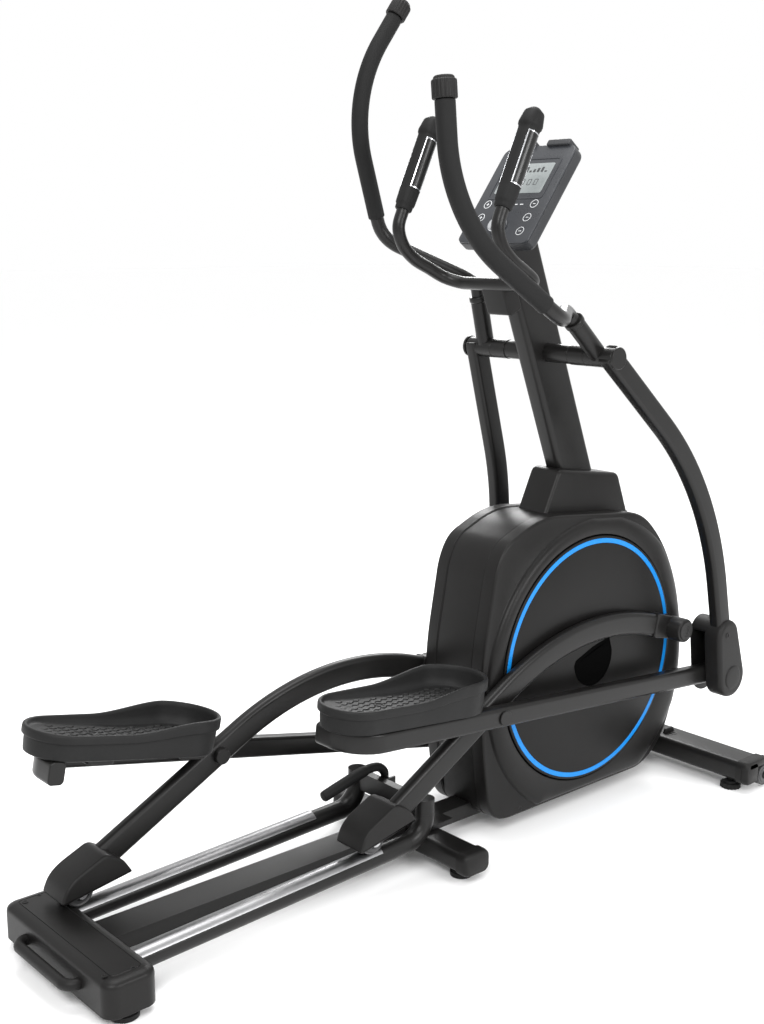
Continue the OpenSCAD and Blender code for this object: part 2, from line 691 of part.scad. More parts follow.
// Roller arm, drawn with the wheel axle at the origin and the crank pin on +X
low_a = atan2(pivot_b, pivot_a);
high_a = 30;
link_r = 560;
vert_x = link_l * tan(high_a) / (tan(low_a) + tan(high_a));
tan_len = link_r * tan((low_a + high_a) / 2);
bow_0 = (vert_x / cos(low_a) - tan_len) * [cos(low_a), sin(low_a)];
bow_c = bow_0 + link_r * [sin(low_a), -cos(low_a)];
bow_1 = bow_c + link_r * [sin(high_a), cos(high_a)];
module on_link(s) {
    w = roller_at(pin_at(s));
    side(s) translate([w[0], 0, w[1]]) rotate([0, -tilt_of(pin_at(s)), 0]) children();
}
module link_tube(h, y0, y1, g) {
    prof(strip((48 + g) * unit(low_a), bow_c, link_r, 90 + low_a, 90 - high_a, [link_l, 0], h), y0, y1);
}
link_c = (link_y0 + link_y1) / 2;
fork_y0 = rail_y + 2 - wheel_w / 2 - 5;
fork_y1 = rail_y + 2 + wheel_w / 2 + 5;
module roller_arm() {
    color("black") {
        difference() {
            union() {
                link_tube(link_h, link_y0, link_y1, 0);
                ycyl(link_l, 0, link_y0, beam_y1 + 1, link_h / 2 + 1.5);
                ycyl(link_l, 0, beam_y1 + 1, beam_y1 + 4, 21);
                rotate([0, -low_a, 0]) box(42, 56, fork_y0, fork_y1, -20, 20);
                rotate([0, -low_a, 0]) for (y = [fork_y0, fork_y1 - 4]) box(0, 44, y, y + 4, -13, 13);
                for (y = [fork_y0, fork_y1 - 4]) ycyl(0, 0, y, y + 4, 14);
            }
            difference() {
                link_tube(link_h - 2 * tube_t, link_y0 + tube_t, link_y1 - tube_t, 12);
                ycyl(pivot_a, pivot_b, 90, 140, 18);
                ycyl(link_l, 0, 90, 180, link_h / 2);
            }
            ycyl(0, 0, 60, 150, 6 + run);
        }
        ycyl(pivot_a, pivot_b, link_y1 - 2, beam_y0 - 0.5, 16);
        ycyl(pivot_a, pivot_b, link_y1 - 2, beam_y1 + 1, 10);
        ycyl(pivot_a, pivot_b, beam_y1 + 0.5, beam_y1 + 4, 15);
        ycyl(pivot_a, pivot_b, link_y0 - 12, link_y0 + 1, 15);
    }
}
hood = [[58, 46], [4, 36], [-12, 31], [-26, 22], [-34, 8], [-42, -6], [-34, -12], [30, -14], [96, -10], [84, 22]];
hood_in = [[70, 52], [56, 42.5], [5, 33], [-10, 28], [-23, 20], [-31, 6], [-39, -6], [-60, -40], [110, -40], [110, 40]];
module roller_cover() {
    color("dimgray") difference() {
        prof(hood, fork_y0 - 10, fork_y1 + 10);
        prof(hood_in, fork_y0 - 7, fork_y1 + 7);
        translate([0, link_c, 0]) flat_bar([40, 10.5], 200 * [cos(low_a), sin(low_a)], link_h + 2, 30);
    }
}
module roller_axle() {
    color("silver") {
        ycyl(0, 0, fork_y0 - 2, fork_y1 + 2, 6);
        ycyl(0, 0, fork_y0 - 5, fork_y0 - 0.4, 10);
        ycyl(0, 0, fork_y1 + 0.4, fork_y1 + 5, 10);
    }
}
module roller_wheel() {
    color("black") difference() {
        union() {
            ycyl(0, 0, rail_y + 2 - wheel_w / 2, rail_y - 3, wheel_r);
            ycyl(0, 0, rail_y + 7, rail_y + 2 + wheel_w / 2, wheel_r);
            ycyl(0, 0, rail_y - 4, rail_y + 8, wheel_r - 4);
        }
        ycyl(0, 0, 60, 150, 6 + run);
    }
}
module on_axle(s) {
    w = roller_at(pin_at(s));
    side(s) translate([w[0], 0, w[1]]) children();
}

// Crank, drive and brake
module crank_set() {
    color("silver") {
        ycyl(crank_x, crank_z, -88, 88, 12.5);
        for (s = [1, -1]) side(s) translate([crank_x, 0, crank_z]) rotate([0, -crank_tilt + (s > 0 ? 0 : 180), 0]) {
            box(0, crank_r, 78, 88, -20, 20);
            ycyl(0, 0, 74, 88, 28);
            ycyl(crank_r, 0, 78, disc_y - 1.7, 22);
            ycyl(crank_r, 0, 78, disc_y + 1.4, min(9.5, disc_r - 5 - ring_w - crank_r - 0.5));
        }
    }
}
module crank_discs() {
    color("dimgray") for (s = [1, -1]) side(s) translate([crank_x, 0, crank_z])
        rotate([0, -crank_tilt + (s > 0 ? 0 : 180), 0]) difference() {
            ycyl(0, 0, 89, disc_y, disc_r, $fn = 96);
            ycyl(0, 0, 88, disc_y - wall, disc_r - wall, $fn = 96);
            ycyl(crank_r, 0, 80, 110, 22 + slip);
            difference() {
                ycyl(0, 0, disc_y - 1.5, disc_y + 1, disc_r - 5 + slip, $fn = 96);
                ycyl(0, 0, disc_y - 2, disc_y + 2, disc_r - 5 - ring_w - slip, $fn = 96);
            }
        }
}
module crank_rings() {
    color("deepskyblue") for (s = [1, -1]) side(s) difference() {
        ycyl(crank_x, crank_z, disc_y - 1.4, disc_y + 0.5, disc_r - 5, $fn = 96);
        ycyl(crank_x, crank_z, disc_y - 2, disc_y + 2, disc_r - 5 - ring_w, $fn = 96);
    }
}
module drive_pulley() {
    color("black") difference() {
        union() {
            ycyl(crank_x, crank_z, belt_y0, belt_y0 + 16, pulley_r, $fn = 72);
            ycyl(crank_x, crank_z, belt_y0 - 3, 34, 24);
        }
        ycyl(crank_x, crank_z, 0, 40, 12.5 + slip);
        for (a = [30:60:330]) ycyl(crank_x + 88 * cos(a), crank_z + 88 * sin(a), 0, 40, 30);
    }
}
module flywheel() {
    color("silver") difference() {
        union() {
            ycyl(fly_x, fly_z, -22, 2, 92, $fn = 72);
            ycyl(fly_x, fly_z, -24, 30, 16);
            ycyl(fly_x, fly_z, belt_y0, belt_y0 + 16, small_r);
        }
        ycyl(fly_x, fly_z, -30, 40, 8 + run);
    }
}
function belt_loop(g) = loop([crank_x, crank_z], pulley_r + g, [fly_x, fly_z], small_r + g);
module drive_belt() {
    color("black") difference() {
        prof(belt_loop(3), 11, 25);
        prof(belt_loop(0.8), 10, 26);
    }
}
idler = [606, 310];
module belt_tensioner() {
    color("gray") {
        box(594, 618, 30.5, 37.9, 212, 320);
        ycyl(idler[0], idler[1], 8, 31.5, 6);
        difference() {
            ycyl(idler[0], idler[1], 9, 27, 17);
            ycyl(idler[0], idler[1], 0, 40, 6 + run);
        }
    }
}
module drive_axles() {
    color("silver") ycyl(fly_x, fly_z, -46, 46, 8);
}
module brake_unit() {
    color("gray") {
        difference() {
            ycyl(fly_x, fly_z, -20, 0, 102);
            ycyl(fly_x, fly_z, -21, 1, 95);
            box(400, 720, -30, 30, 0, fly_z + 20);
            box(400, fly_x + 30, -30, 30, 0, 400);
        }
        box(fly_x + 26, fly_x + 62, -20, 0, 294, 330);
        box(fly_x + 26, fly_x + 38, -46, 0, 300, 330);
        box(fly_x - 30, fly_x + 38, -50, -44.1, 212, 330);
    }
}

module place() {
    translate([-x_mid, 0, 0]) children();
}
place() main_frame();
place() front_stabilizer();
place() mid_stabilizer();
place() stabilizer_caps();
place() foot_pads();
place() rail_frame();
place() rail_tracks();
place() rear_cover();
place() rear_handle();
place() mast();
place() mast_boot();
place() cross_axle();
place() color("dimgray") side(-1) housing_side();  // housing_left
place() color("dimgray") side(1) housing_side();  // housing_right
place() housing_rear();
place() console_case();
place() console_panel();
place() console_screen();
place() pulse_bar();
place() for (s = [-1, 1]) side(s) pulse_grip();  // pulse_grips
place() for (s = [-1, 1]) side(s) pulse_plate_pair();  // pulse_plates
place() bar_bracket();
place() drive_axles();
place() brake_unit();
place() belt_tensioner();
place() drive_belt();
place() screws();
place() side(-1) foot_screw();  // foot_screw_left
place() side(1) foot_screw();  // foot_screw_right
place() side(-1) transport_wheel();  // transport_wheel_left
place() side(1) transport_wheel();  // transport_wheel_right
place() console_dial();
place() lock_lever();
place() on_arm(-1) swing_arm();  // swing_arm_left
place() on_arm(1) swing_arm();  // swing_arm_right
place() on_arm(-1) handle_bar();  // handle_bar_left
place() on_arm(1) handle_bar();  // handle_bar_right
place() on_arm(-1) handle_foam();  // handle_foam_left
place() on_arm(1) handle_foam();  // handle_foam_right
place() on_arm(-1) handle_cap();  // handle_cap_left
place() on_arm(1) handle_cap();  // handle_cap_right
place() on_arm(-1) joint_cover();  // joint_cover_left
place() on_arm(1) joint_cover();  // joint_cover_right
place() on_beam(-1) foot_beam();  // foot_beam_left
place() on_beam(1) foot_beam();  // foot_beam_right
place() on_beam(-1) pedal();  // pedal_left
place() on_beam(1) pedal();  // pedal_right
place() on_axle(-1) roller_axle();  // roller_axle_left
place() on_axle(1) roller_axle();  // roller_axle_right
place() on_link(-1) roller_arm();  // roller_arm_left
place() on_link(1) roller_arm();  // roller_arm_right
place() on_link(-1) roller_cover();  // roller_cover_left
place() on_link(1) roller_cover();  // roller_cover_right
place() on_axle(-1) roller_wheel();  // roller_wheel_left
place() on_axle(1) roller_wheel();  // roller_wheel_right
place() crank_set();
place() crank_discs();
place() crank_rings();
place() drive_pulley();
place() flywheel();
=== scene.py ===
import math

import bmesh
import bpy
import numpy as np
from bpy.props import FloatProperty, FloatVectorProperty, IntProperty, PointerProperty
from bpy.types import Operator, Panel, PropertyGroup
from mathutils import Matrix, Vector


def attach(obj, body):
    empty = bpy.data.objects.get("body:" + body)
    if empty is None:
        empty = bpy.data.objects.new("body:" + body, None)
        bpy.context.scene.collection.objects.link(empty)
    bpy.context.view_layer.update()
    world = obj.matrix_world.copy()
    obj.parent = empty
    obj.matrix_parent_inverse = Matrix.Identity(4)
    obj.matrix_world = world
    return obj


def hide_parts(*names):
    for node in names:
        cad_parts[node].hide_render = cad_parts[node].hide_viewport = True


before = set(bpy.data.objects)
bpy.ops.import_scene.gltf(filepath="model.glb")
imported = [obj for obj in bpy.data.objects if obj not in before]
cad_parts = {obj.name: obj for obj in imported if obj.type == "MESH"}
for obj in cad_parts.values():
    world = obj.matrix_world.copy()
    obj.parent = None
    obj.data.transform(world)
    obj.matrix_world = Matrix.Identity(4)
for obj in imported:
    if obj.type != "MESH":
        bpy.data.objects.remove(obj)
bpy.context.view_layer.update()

bl_info = {
    "name": "Elliptical trainer",
    "version": (1, 0, 0),
    "blender": (4, 5, 0),
    "location": "View3D > Sidebar > Trainer",
    "description": "Builds the surfaces and finishes of an elliptical trainer",
    "category": "Object",
}

MM = 0.001
# Shift from the construction line of the frame to the middle of the machine
MID_X = 7.7
SIDES = {"right": 1, "left": -1}

# ---------------------------------------------------------------- linkage

CRANK = np.array([408.0, 330.0])
CRANK_R = 240.0
CRANK_TILT = math.radians(6.5)
PIVOT = np.array([338.0, 971.0])
ARM_L = 854.0
BEAM_L = 690.0
LINK_L = 896.0
MID_PIVOT = np.array([336.0, 88.0])
ROLL_0 = np.array([-217.0, 119.4])
RAIL_SLOPE = math.radians(2.0)
ARM_Y = 183.0
BEAM_Y = 148.0
LINK_Y = 115.0


def unit(a):
    """Unit vector at angle a, in radians."""
    return np.array([math.cos(a), math.sin(a)])


def linkage(s):
    """Rest places of one side: circle and line intersections of the crank, roller arm, foot beam and
    swing arm."""
    pin = CRANK + s * CRANK_R * unit(CRANK_TILT)
    e = unit(RAIL_SLOPE)
    d = pin - ROLL_0
    k = d @ e
    wheel = ROLL_0 + (k - math.sqrt(LINK_L**2 - (d @ d - k * k))) * e
    tilt = math.atan2(*(pin - wheel)[::-1])
    c, n = math.cos(tilt), math.sin(tilt)
    mid = wheel + np.array([c * MID_PIVOT[0] - n * MID_PIVOT[1], n * MID_PIVOT[0] + c * MID_PIVOT[1]])
    v = PIVOT - mid
    r = np.linalg.norm(v)
    k = (BEAM_L**2 - ARM_L**2 + r * r) / (2 * r)
    t = v / r
    q = mid + k * t + math.sqrt(BEAM_L**2 - k * k) * np.array([t[1], -t[0]])
    swing = math.atan2(q[0] - PIVOT[0], PIVOT[1] - q[1])
    pitch = math.atan2(q[1] - mid[1], q[0] - mid[0])
    return {"wheel": wheel, "tilt": tilt, "mid": mid, "swing": swing, "pitch": pitch}


PLACES = {side: linkage(s) for side, s in SIDES.items()}

# ---------------------------------------------------------------- surfaces


def turned(points, angle, origin):
    """Points turned in the X-Z plane by angle, from +X towards +Z, then moved to origin."""
    p = np.array(points, float)
    c, s = math.cos(angle), math.sin(angle)
    out = p.copy()
    out[..., 0] = origin[0] + p[..., 0] * c - p[..., 2] * s
    out[..., 2] = origin[1] + p[..., 0] * s + p[..., 2] * c
    return out


def place(part, side):
    """Function that carries a part's own coordinates to its rest place on one side."""
    at = PLACES[side]
    angle, origin = {
        "arm": (at["swing"], PIVOT),
        "beam": (at["pitch"], at["mid"]),
        "link": (at["tilt"], at["wheel"]),
        "axle": (0.0, at["wheel"]),
        "frame": (0.0, (0.0, 0.0)),
    }[part]

    def carry(p):
        q = turned(p, angle, origin)
        if side == "right":
            q[..., 1] *= -1
        return q

    return carry


def face_outward(mesh, points):
    """Turns a closed mesh's faces outward. The sum of a . (b x c) over its triangles is six times its volume,
    so a negative sum means that they point in."""
    mesh.calc_loop_triangles()
    tri = np.zeros(len(mesh.loop_triangles) * 3, np.int32)
    mesh.loop_triangles.foreach_get("vertices", tri)
    p = points[tri.reshape(-1, 3)]
    if np.einsum("ij,ij->i", p[:, 0], np.cross(p[:, 1], p[:, 2])).sum() < 0:
        mesh.flip_normals()


def make_mesh(name, verts, faces, finish, body, slot, stands_for=(), sharp=0.6):
    """Mesh from points in millimetres, faces outward, smooth but for edges sharper than the angle given."""
    v = np.array(verts, float).reshape(-1, 3)
    v[:, 0] += MID_X
    v *= MM
    mesh = bpy.data.meshes.new(name)
    mesh.from_pydata(v.tolist(), [], [list(map(int, f)) for f in faces])
    face_outward(mesh, v)
    mesh.polygons.foreach_set("use_smooth", np.ones(len(mesh.polygons), bool))
    mesh.set_sharp_from_angle(angle=sharp)
    mesh.update()
    obj = bpy.data.objects.new(name, mesh)
    bpy.context.scene.collection.objects.link(obj)
    obj.data.materials.append(finish)
    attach(obj, body)
    if stands_for:
        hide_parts(*([stands_for] if isinstance(stands_for, str) else stands_for))
    return obj


def ring_faces(rings, count, start=0):
    """Quads between closed rings of count points each, with a flat face over the first and the last ring."""
    i, j = np.meshgrid(np.arange(rings - 1), np.arange(count), indexing="ij")
    k = (j + 1) % count
    quads = np.stack([i * count + j, i * count + k, (i + 1) * count + k, (i + 1) * count + j],
                     -1).reshape(-1, 4)
    faces = (quads + start).tolist()
    faces.append([start + n for n in range(count)][::-1])
    faces.append([start + (rings - 1) * count + n for n in range(count)])
    return faces


def stack(parts):
    """Several (points, faces) bodies as one."""
    verts, faces, base = [], [], 0
    for v, f in parts:
        v = np.asarray(v).reshape(-1, 3)
        verts.append(v)
        faces += [[base + k for k in face] for face in f]
        base += len(v)
    return np.vstack(verts), faces


def rounded_box(w, h, r, n=6):
    """Closed outline of a w by h rectangle whose corners are arcs of radius r."""
    out = []
    for a, (sx, sy) in enumerate([(1, 1), (-1, 1), (-1, -1), (1, -1)]):
        t = np.linspace(a * math.pi / 2, (a + 1) * math.pi / 2, n)
        out.append(np.stack([sx * (w / 2 - r) + r * np.cos(t), sy * (h / 2 - r) + r * np.sin(t)], -1))
    return np.vstack(out)


def round_section(r, n=32):
    """Closed circle of n points."""
    t = np.linspace(0, 2 * math.pi, n, endpoint=False)
    return np.stack([r * np.cos(t), r * np.sin(t)], -1)


def swept(path, section, side=(0, 1, 0), ends=3.0, scale=None):
    """A section carried along a path. At each station the section's first axis is the side direction made
    square to the path, and its second is their cross product. The ends draw in over a quarter circle."""
    p = np.array(path, float)
    t = np.gradient(p, axis=0)
    t /= np.linalg.norm(t, axis=1, keepdims=True)
    k = np.ones(len(p)) if scale is None else np.array(scale, float)
    if ends:
        a = np.linspace(0, math.pi / 2, 5)
        half = np.abs(section).max()
        shrink = (half - ends + ends * np.sin(a)) / half
        lead = ends * (1 - np.cos(a))
        first = p[0] + t[0] * lead[:, None]
        last = p[-1] - t[-1] * lead[::-1, None]
        keep = slice(1, -1)
        p = np.vstack([first, p[keep], last])
        t = np.vstack([np.repeat(t[:1], 5, 0), t[keep], np.repeat(t[-1:], 5, 0)])
        k = np.concatenate([k[0] * shrink, k[keep], k[-1] * shrink[::-1]])
    s = np.array(side, float)
    sides = np.zeros_like(p)
    for i in range(len(p)):
        s = s - t[i] * (s @ t[i])
        s = s / np.linalg.norm(s)
        sides[i] = s
    ups = np.cross(t, sides)
    q = section[None, :, :] * k[:, None, None]
    verts = p[:, None, :] + q[..., :1] * sides[:, None, :] + q[..., 1:] * ups[:, None, :]
    return verts.reshape(-1, 3), ring_faces(len(p), len(section))


def arc(c, r, a0, a1, n, y=0.0):
    """Points on a circle in the X-Z plane, angles in degrees from +X towards +Z."""
    t = np.radians(np.linspace(a0, a1, n))
    return np.stack([c[0] + r * np.cos(t), np.full(n, y), c[1] + r * np.sin(t)], -1)


def smooth_curve(points, n):
    """Curve through the points: each coordinate is a cubic between neighbours with centred slopes."""
    p = np.array(points, float)
    d = np.concatenate([[0], np.cumsum(np.linalg.norm(np.diff(p, axis=0), axis=1) ** 0.5)])
    m = np.gradient(p, d, axis=0)
    u = np.linspace(0, d[-1], n)
    i = np.clip(np.searchsorted(d, u, side="right") - 1, 0, len(p) - 2)
    h = (d[i + 1] - d[i])[:, None]
    s = ((u - d[i])[:, None]) / h
    a, b = 2 * s**3 - 3 * s**2 + 1, s**3 - 2 * s**2 + s
    c, e = -2 * s**3 + 3 * s**2, s**3 - s**2
    return a * p[i] + b * h * m[i] + c * p[i + 1] + e * h * m[i + 1]


def bezier(ctrl, n):
    """Curve of the control points' Bernstein sum."""
    c = np.array(ctrl, float)
    t = np.linspace(0, 1, n)[:, None]
    k = len(c) - 1
    return sum(math.comb(k, i) * t**i * (1 - t) ** (k - i) * c[i] for i in range(k + 1))


def filleted(points, radii, n=8):
    """Closed outline with each corner replaced by a curve that touches both edges at the radius given."""
    p = np.array(points, float)
    radii = np.broadcast_to(radii, len(p))
    out = []
    for i in range(len(p)):
        a, b, c = p[i - 1], p[i], p[(i + 1) % len(p)]
        u, v = a - b, c - b
        lu, lv = np.linalg.norm(u), np.linalg.norm(v)
        r = min(radii[i], 0.48 * lu, 0.48 * lv)
        t = np.linspace(0, 1, n)[:, None]
        s, e = b + u / lu * r, b + v / lv * r
        out.append((1 - t) ** 2 * s + 2 * t * (1 - t) * b + t**2 * e)
    return np.vstack(out)


def spaced(outline, n):
    """The closed outline at n points an equal length apart."""
    p = np.vstack([outline, outline[:1]])
    d = np.concatenate([[0], np.cumsum(np.linalg.norm(np.diff(p, axis=0), axis=1))])
    u = np.linspace(0, d[-1], n, endpoint=False)
    return np.stack([np.interp(u, d, p[:, 0]), np.interp(u, d, p[:, 1])], -1)


def outward(outline):
    """Normals that point out of a closed outline, by central differences."""
    t = np.roll(outline, -1, 0) - np.roll(outline, 1, 0)
    t /= np.maximum(np.linalg.norm(t, axis=1, keepdims=True), 1e-9)
    n = np.stack([t[:, 1], -t[:, 0]], -1)
    x, y = outline[:, 0], outline[:, 1]
    area = (x * np.roll(y, -1) - y * np.roll(x, -1)).sum()
    return n if area > 0 else -n


def slab(outline, lo, hi, r0, r1=None, axis="Y", n=6, extra=()):
    """An outline drawn out from lo to hi, with its rims rounded by quarter circles of radius r0 and r1.
    extra holds further (depth, inset) rings past the hi face, for a dish or a boss."""
    r1 = r0 if r1 is None else r1
    a = np.linspace(0, math.pi / 2, n)
    depth = np.concatenate([lo + r0 * (1 - np.cos(a)), (hi - r1 * (1 - np.cos(a)))[::-1]])
    inset = np.concatenate([r0 * (1 - np.sin(a)), (r1 * (1 - np.sin(a)))[::-1]])
    for d, i in extra:
        depth, inset = np.append(depth, d), np.append(inset, i)
    normal = outward(outline)
    flat = outline[None] - normal[None] * inset[:, None, None]
    deep = np.broadcast_to(depth[:, None, None], flat.shape[:2] + (1,))
    if axis == "Y":
        verts = np.concatenate([flat[..., :1], deep, flat[..., 1:]], -1)
    elif axis == "Z":
        verts = np.concatenate([flat, deep], -1)
    else:
        verts = np.concatenate([deep, flat], -1)
    return verts.reshape(-1, 3), ring_faces(len(depth), len(outline))


def turned_part(profile, centre, n=64, axis="Y"):
    """A profile of (radius, height) turned about an axis through the centre."""
    pr = np.array(profile, float)
    t = np.linspace(0, 2 * math.pi, n, endpoint=False)
    r = np.maximum(pr[:, :1], 0.01)
    h = np.broadcast_to(pr[:, 1:], (len(pr), n))
    x, z = r * np.cos(t), r * np.sin(t)
    if axis == "Y":
        verts = np.stack([centre[0] + x, h, centre[1] + z], -1)
    else:
        verts = np.stack([centre[0] + x, centre[1] + z, h], -1)
    return verts.reshape(-1, 3), ring_faces(len(pr), n)


def two_circles(c0, r0, c1, r1, n0=48, n1=32):
    """Closed outline round two circles and their common tangents."""
    c0, c1 = np.array(c0, float), np.array(c1, float)
    v = c1 - c0
    a = math.atan2(v[1], v[0])
    b = math.acos((r0 - r1) / np.linalg.norm(v))
    t0 = np.linspace(a + b, a - b + 2 * math.pi, n0)
    t1 = np.linspace(a - b, a + b, n1)
    return np.vstack([c0 + r0 * np.stack([np.cos(t0), np.sin(t0)], -1),
                      c1 + r1 * np.stack([np.cos(t1), np.sin(t1)], -1)])


# ---------------------------------------------------------------- finishes


def node(tree, kind, at=(0, 0), **inputs):
    n = tree.nodes.new(kind)
    n.location = at
    for key, value in inputs.items():
        n.inputs[key.replace("_", " ")].default_value = value
    return n


def base_finish(name, metallic=0.0, coat=0.0, coat_roughness=0.2, specular=0.5):
    """A material with its shader, and Object coordinates to read patterns from."""
    mat = bpy.data.materials.new(name)
    mat.use_nodes = True
    tree = mat.node_tree
    shader = tree.nodes["Principled BSDF"]
    shader.inputs["Metallic"].default_value = metallic
    shader.inputs["Coat Weight"].default_value = coat
    shader.inputs["Coat Roughness"].default_value = coat_roughness
    shader.inputs["Specular IOR Level"].default_value = specular
    coords = node(tree, "ShaderNodeTexCoord", (-1200, 0))
    return mat, tree, shader, coords


def blend_colours(tree, factor, low, high, at):
    ramp = tree.nodes.new("ShaderNodeValToRGB")
    ramp.location = at
    ramp.color_ramp.elements[0].position = 0.3
    ramp.color_ramp.elements[1].position = 0.7
    ramp.color_ramp.elements[0].color = (*low, 1)
    ramp.color_ramp.elements[1].color = (*high, 1)
    tree.links.new(factor, ramp.inputs["Fac"])
    return ramp.outputs["Color"]


def spread(tree, value, low, high, at):
    """Maps 0.3..0.7 of a pattern to low..high."""
    m = node(tree, "ShaderNodeMapRange", at)
    m.inputs["From Min"].default_value = 0.3
    m.inputs["From Max"].default_value = 0.7
    m.inputs["To Min"].default_value = low
    m.inputs["To Max"].default_value = high
    tree.links.new(value, m.inputs["Value"])
    return m.outputs["Result"]


def grained(name, dark, light, rough, grain, depth, metallic=0.0, coat=0.0, specular=0.5, cells=False,
            stretch=None,
            broad=9.0):
    """Finish with a fine grain in its height, broad patches in colour and gloss, and small worn specks."""
    mat, tree, shader, coords = base_finish(name, metallic, coat, specular=specular)
    vector = coords.outputs["Object"]
    if stretch:
        mapping = node(tree, "ShaderNodeMapping", (-1000, 0))
        mapping.inputs["Scale"].default_value = stretch
        tree.links.new(vector, mapping.inputs["Vector"])
        fine_vector = mapping.outputs["Vector"]
    else:
        fine_vector = vector
    patches = node(tree, "ShaderNodeTexNoise", (-800, 200), Scale=broad, Detail=5.0, Roughness=0.6)
    tree.links.new(vector, patches.inputs["Vector"])
    if cells:
        fine = node(tree, "ShaderNodeTexVoronoi", (-800, -200), Scale=grain)
        fine_out = fine.outputs["Distance"]
    else:
        fine = node(tree, "ShaderNodeTexNoise", (-800, -200), Scale=grain, Detail=3.0, Roughness=0.55)
        fine_out = fine.outputs["Fac"]
    tree.links.new(fine_vector, fine.inputs["Vector"])
    specks = node(tree, "ShaderNodeTexNoise", (-800, -500), Scale=grain * 0.23, Detail=6.0, Roughness=0.75)
    tree.links.new(vector, specks.inputs["Vector"])
    mix = tree.nodes.new("ShaderNodeMath")
    mix.operation = "MULTIPLY_ADD"
    mix.location = (-550, 150)
    mix.inputs[1].default_value = 0.35
    tree.links.new(specks.outputs["Fac"], mix.inputs[0])
    scaled = tree.nodes.new("ShaderNodeMath")
    scaled.operation = "MULTIPLY"
    scaled.location = (-650, 300)
    scaled.inputs[1].default_value = 0.65
    tree.links.new(patches.outputs["Fac"], scaled.inputs[0])
    tree.links.new(scaled.outputs[0], mix.inputs[2])
    tree.links.new(blend_colours(tree, mix.outputs[0], dark, light, (-300, 200)),
                   shader.inputs["Base Color"])
    tree.links.new(spread(tree, mix.outputs[0], rough[0], rough[1], (-300, -50)),
                   shader.inputs["Roughness"])
    bump = node(tree, "ShaderNodeBump", (-200, -300), Strength=depth, Distance=0.0004)
    tree.links.new(fine_out, bump.inputs["Height"])
    tree.links.new(bump.outputs["Normal"], shader.inputs["Normal"])
    return mat


FINISHES = {}


def finish(key):
    return FINISHES[key]


def make_finishes(look):
    """Every finish of the machine, from the colours in the panel."""
    c = tuple(look.steel_colour)
    p = tuple(look.shell_colour)
    b = tuple(look.ring_colour)

    def up(colour, k):
        return tuple(min(1.0, x * k) for x in colour)

    FINISHES.update(
        powder=grained("powder_coated_steel", up(c, 0.8), up(c, 1.35), (0.27, 0.38), 1500.0, 0.16,
                       specular=0.24),
        shell=grained("moulded_shell", up(p, 0.85), up(p, 1.25), (0.30, 0.42), 1250.0, 0.20, cells=True,
                      specular=0.18),
        shell_fine=grained("moulded_cover", up(p, 0.75), up(p, 1.2), (0.40, 0.52), 1700.0, 0.22, cells=True,
                           specular=0.2),
        disc=grained("crank_disc_face", up(p, 0.6), up(p, 0.95), (0.30, 0.42), 1400.0, 0.12, specular=0.15),
        tray=grained("pedal_tray_rubber", (0.007, 0.007, 0.007), (0.015, 0.015, 0.015), (0.42, 0.56),
                     900.0, 0.35,
                     cells=True, specular=0.16),
        rubber=grained("black_rubber", (0.006, 0.006, 0.006), (0.012, 0.012, 0.012), (0.5, 0.68), 800.0,
                       0.3,
                       specular=0.16),
        foam=grained("grip_foam", (0.006, 0.006, 0.006), (0.011, 0.011, 0.011), (0.5, 0.66), 1900.0, 0.4,
                     cells=True,
                     specular=0.16),
        wheel=grained("roller_tread", (0.03, 0.03, 0.031), (0.055, 0.055, 0.057), (0.38, 0.55), 700.0, 0.2),
        console=grained("console_shell", (0.016, 0.017, 0.019), (0.026, 0.027, 0.030), (0.34, 0.46),
                        1500.0, 0.2,
                        cells=True, specular=0.4),
        panel=grained("console_face", (0.026, 0.028, 0.032), (0.038, 0.040, 0.045), (0.24, 0.34), 1800.0,
                      0.05,
                      specular=0.4),
        ring=grained("accent_ring", up(b, 0.85), up(b, 1.12), (0.26, 0.36), 900.0, 0.04, coat=0.08,
                     specular=0.2, broad=4.0),
        aluminium=grained("drawn_aluminium", (0.24, 0.24, 0.245), (0.36, 0.36, 0.365), (0.26, 0.38),
                          420.0, 0.12,
                          metallic=1.0, stretch=(0.03, 1.0, 1.0)),
        steel=grained("bright_steel", (0.38, 0.38, 0.39), (0.55, 0.55, 0.56), (0.25, 0.40), 900.0, 0.15,
                      metallic=1.0),
        chrome=grained("contact_plate", (0.55, 0.56, 0.58), (0.72, 0.73, 0.75), (0.08, 0.18), 500.0, 0.04,
                       metallic=1.0),
        iron=grained("machined_iron", (0.16, 0.16, 0.165), (0.26, 0.26, 0.27), (0.30, 0.5), 350.0, 0.3,
                     metallic=1.0),
        dark_plate=grained("dark_contact_plate", (0.02, 0.02, 0.02), (0.035, 0.035, 0.035), (0.16, 0.26),
                           500.0, 0.04,
                           metallic=0.8),
        # near-black, barely shiny finish: painted shade standing in for the shadow inside the crank disc
        # recesses
        pocket=grained("disc_pocket", (0.0008, 0.0008, 0.0008), (0.0015, 0.0015, 0.0015), (0.7, 0.9),
                       900.0, 0.05,
                       specular=0.02),
        screw=grained("black_screw", (0.010, 0.010, 0.010), (0.020, 0.020, 0.020), (0.25, 0.4), 600.0, 0.1,
                      metallic=0.6),
        glass=grained("display_glass", (0.20, 0.22, 0.22), (0.27, 0.29, 0.29), (0.10, 0.16), 500.0, 0.02,
                      coat=0.6),
        legend=grained("printed_legend", (0.62, 0.63, 0.64), (0.74, 0.75, 0.76), (0.35, 0.5), 900.0, 0.05),
        segment=grained("display_segment", (0.025, 0.027, 0.03), (0.045, 0.047, 0.05), (0.25, 0.4), 900.0,
                        0.03),
    )


def dress(node_name, key):
    """A CAD node keeps its shape and takes a finish."""
    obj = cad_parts[node_name]
    obj.data.materials.clear()
    obj.data.materials.append(finish(key))


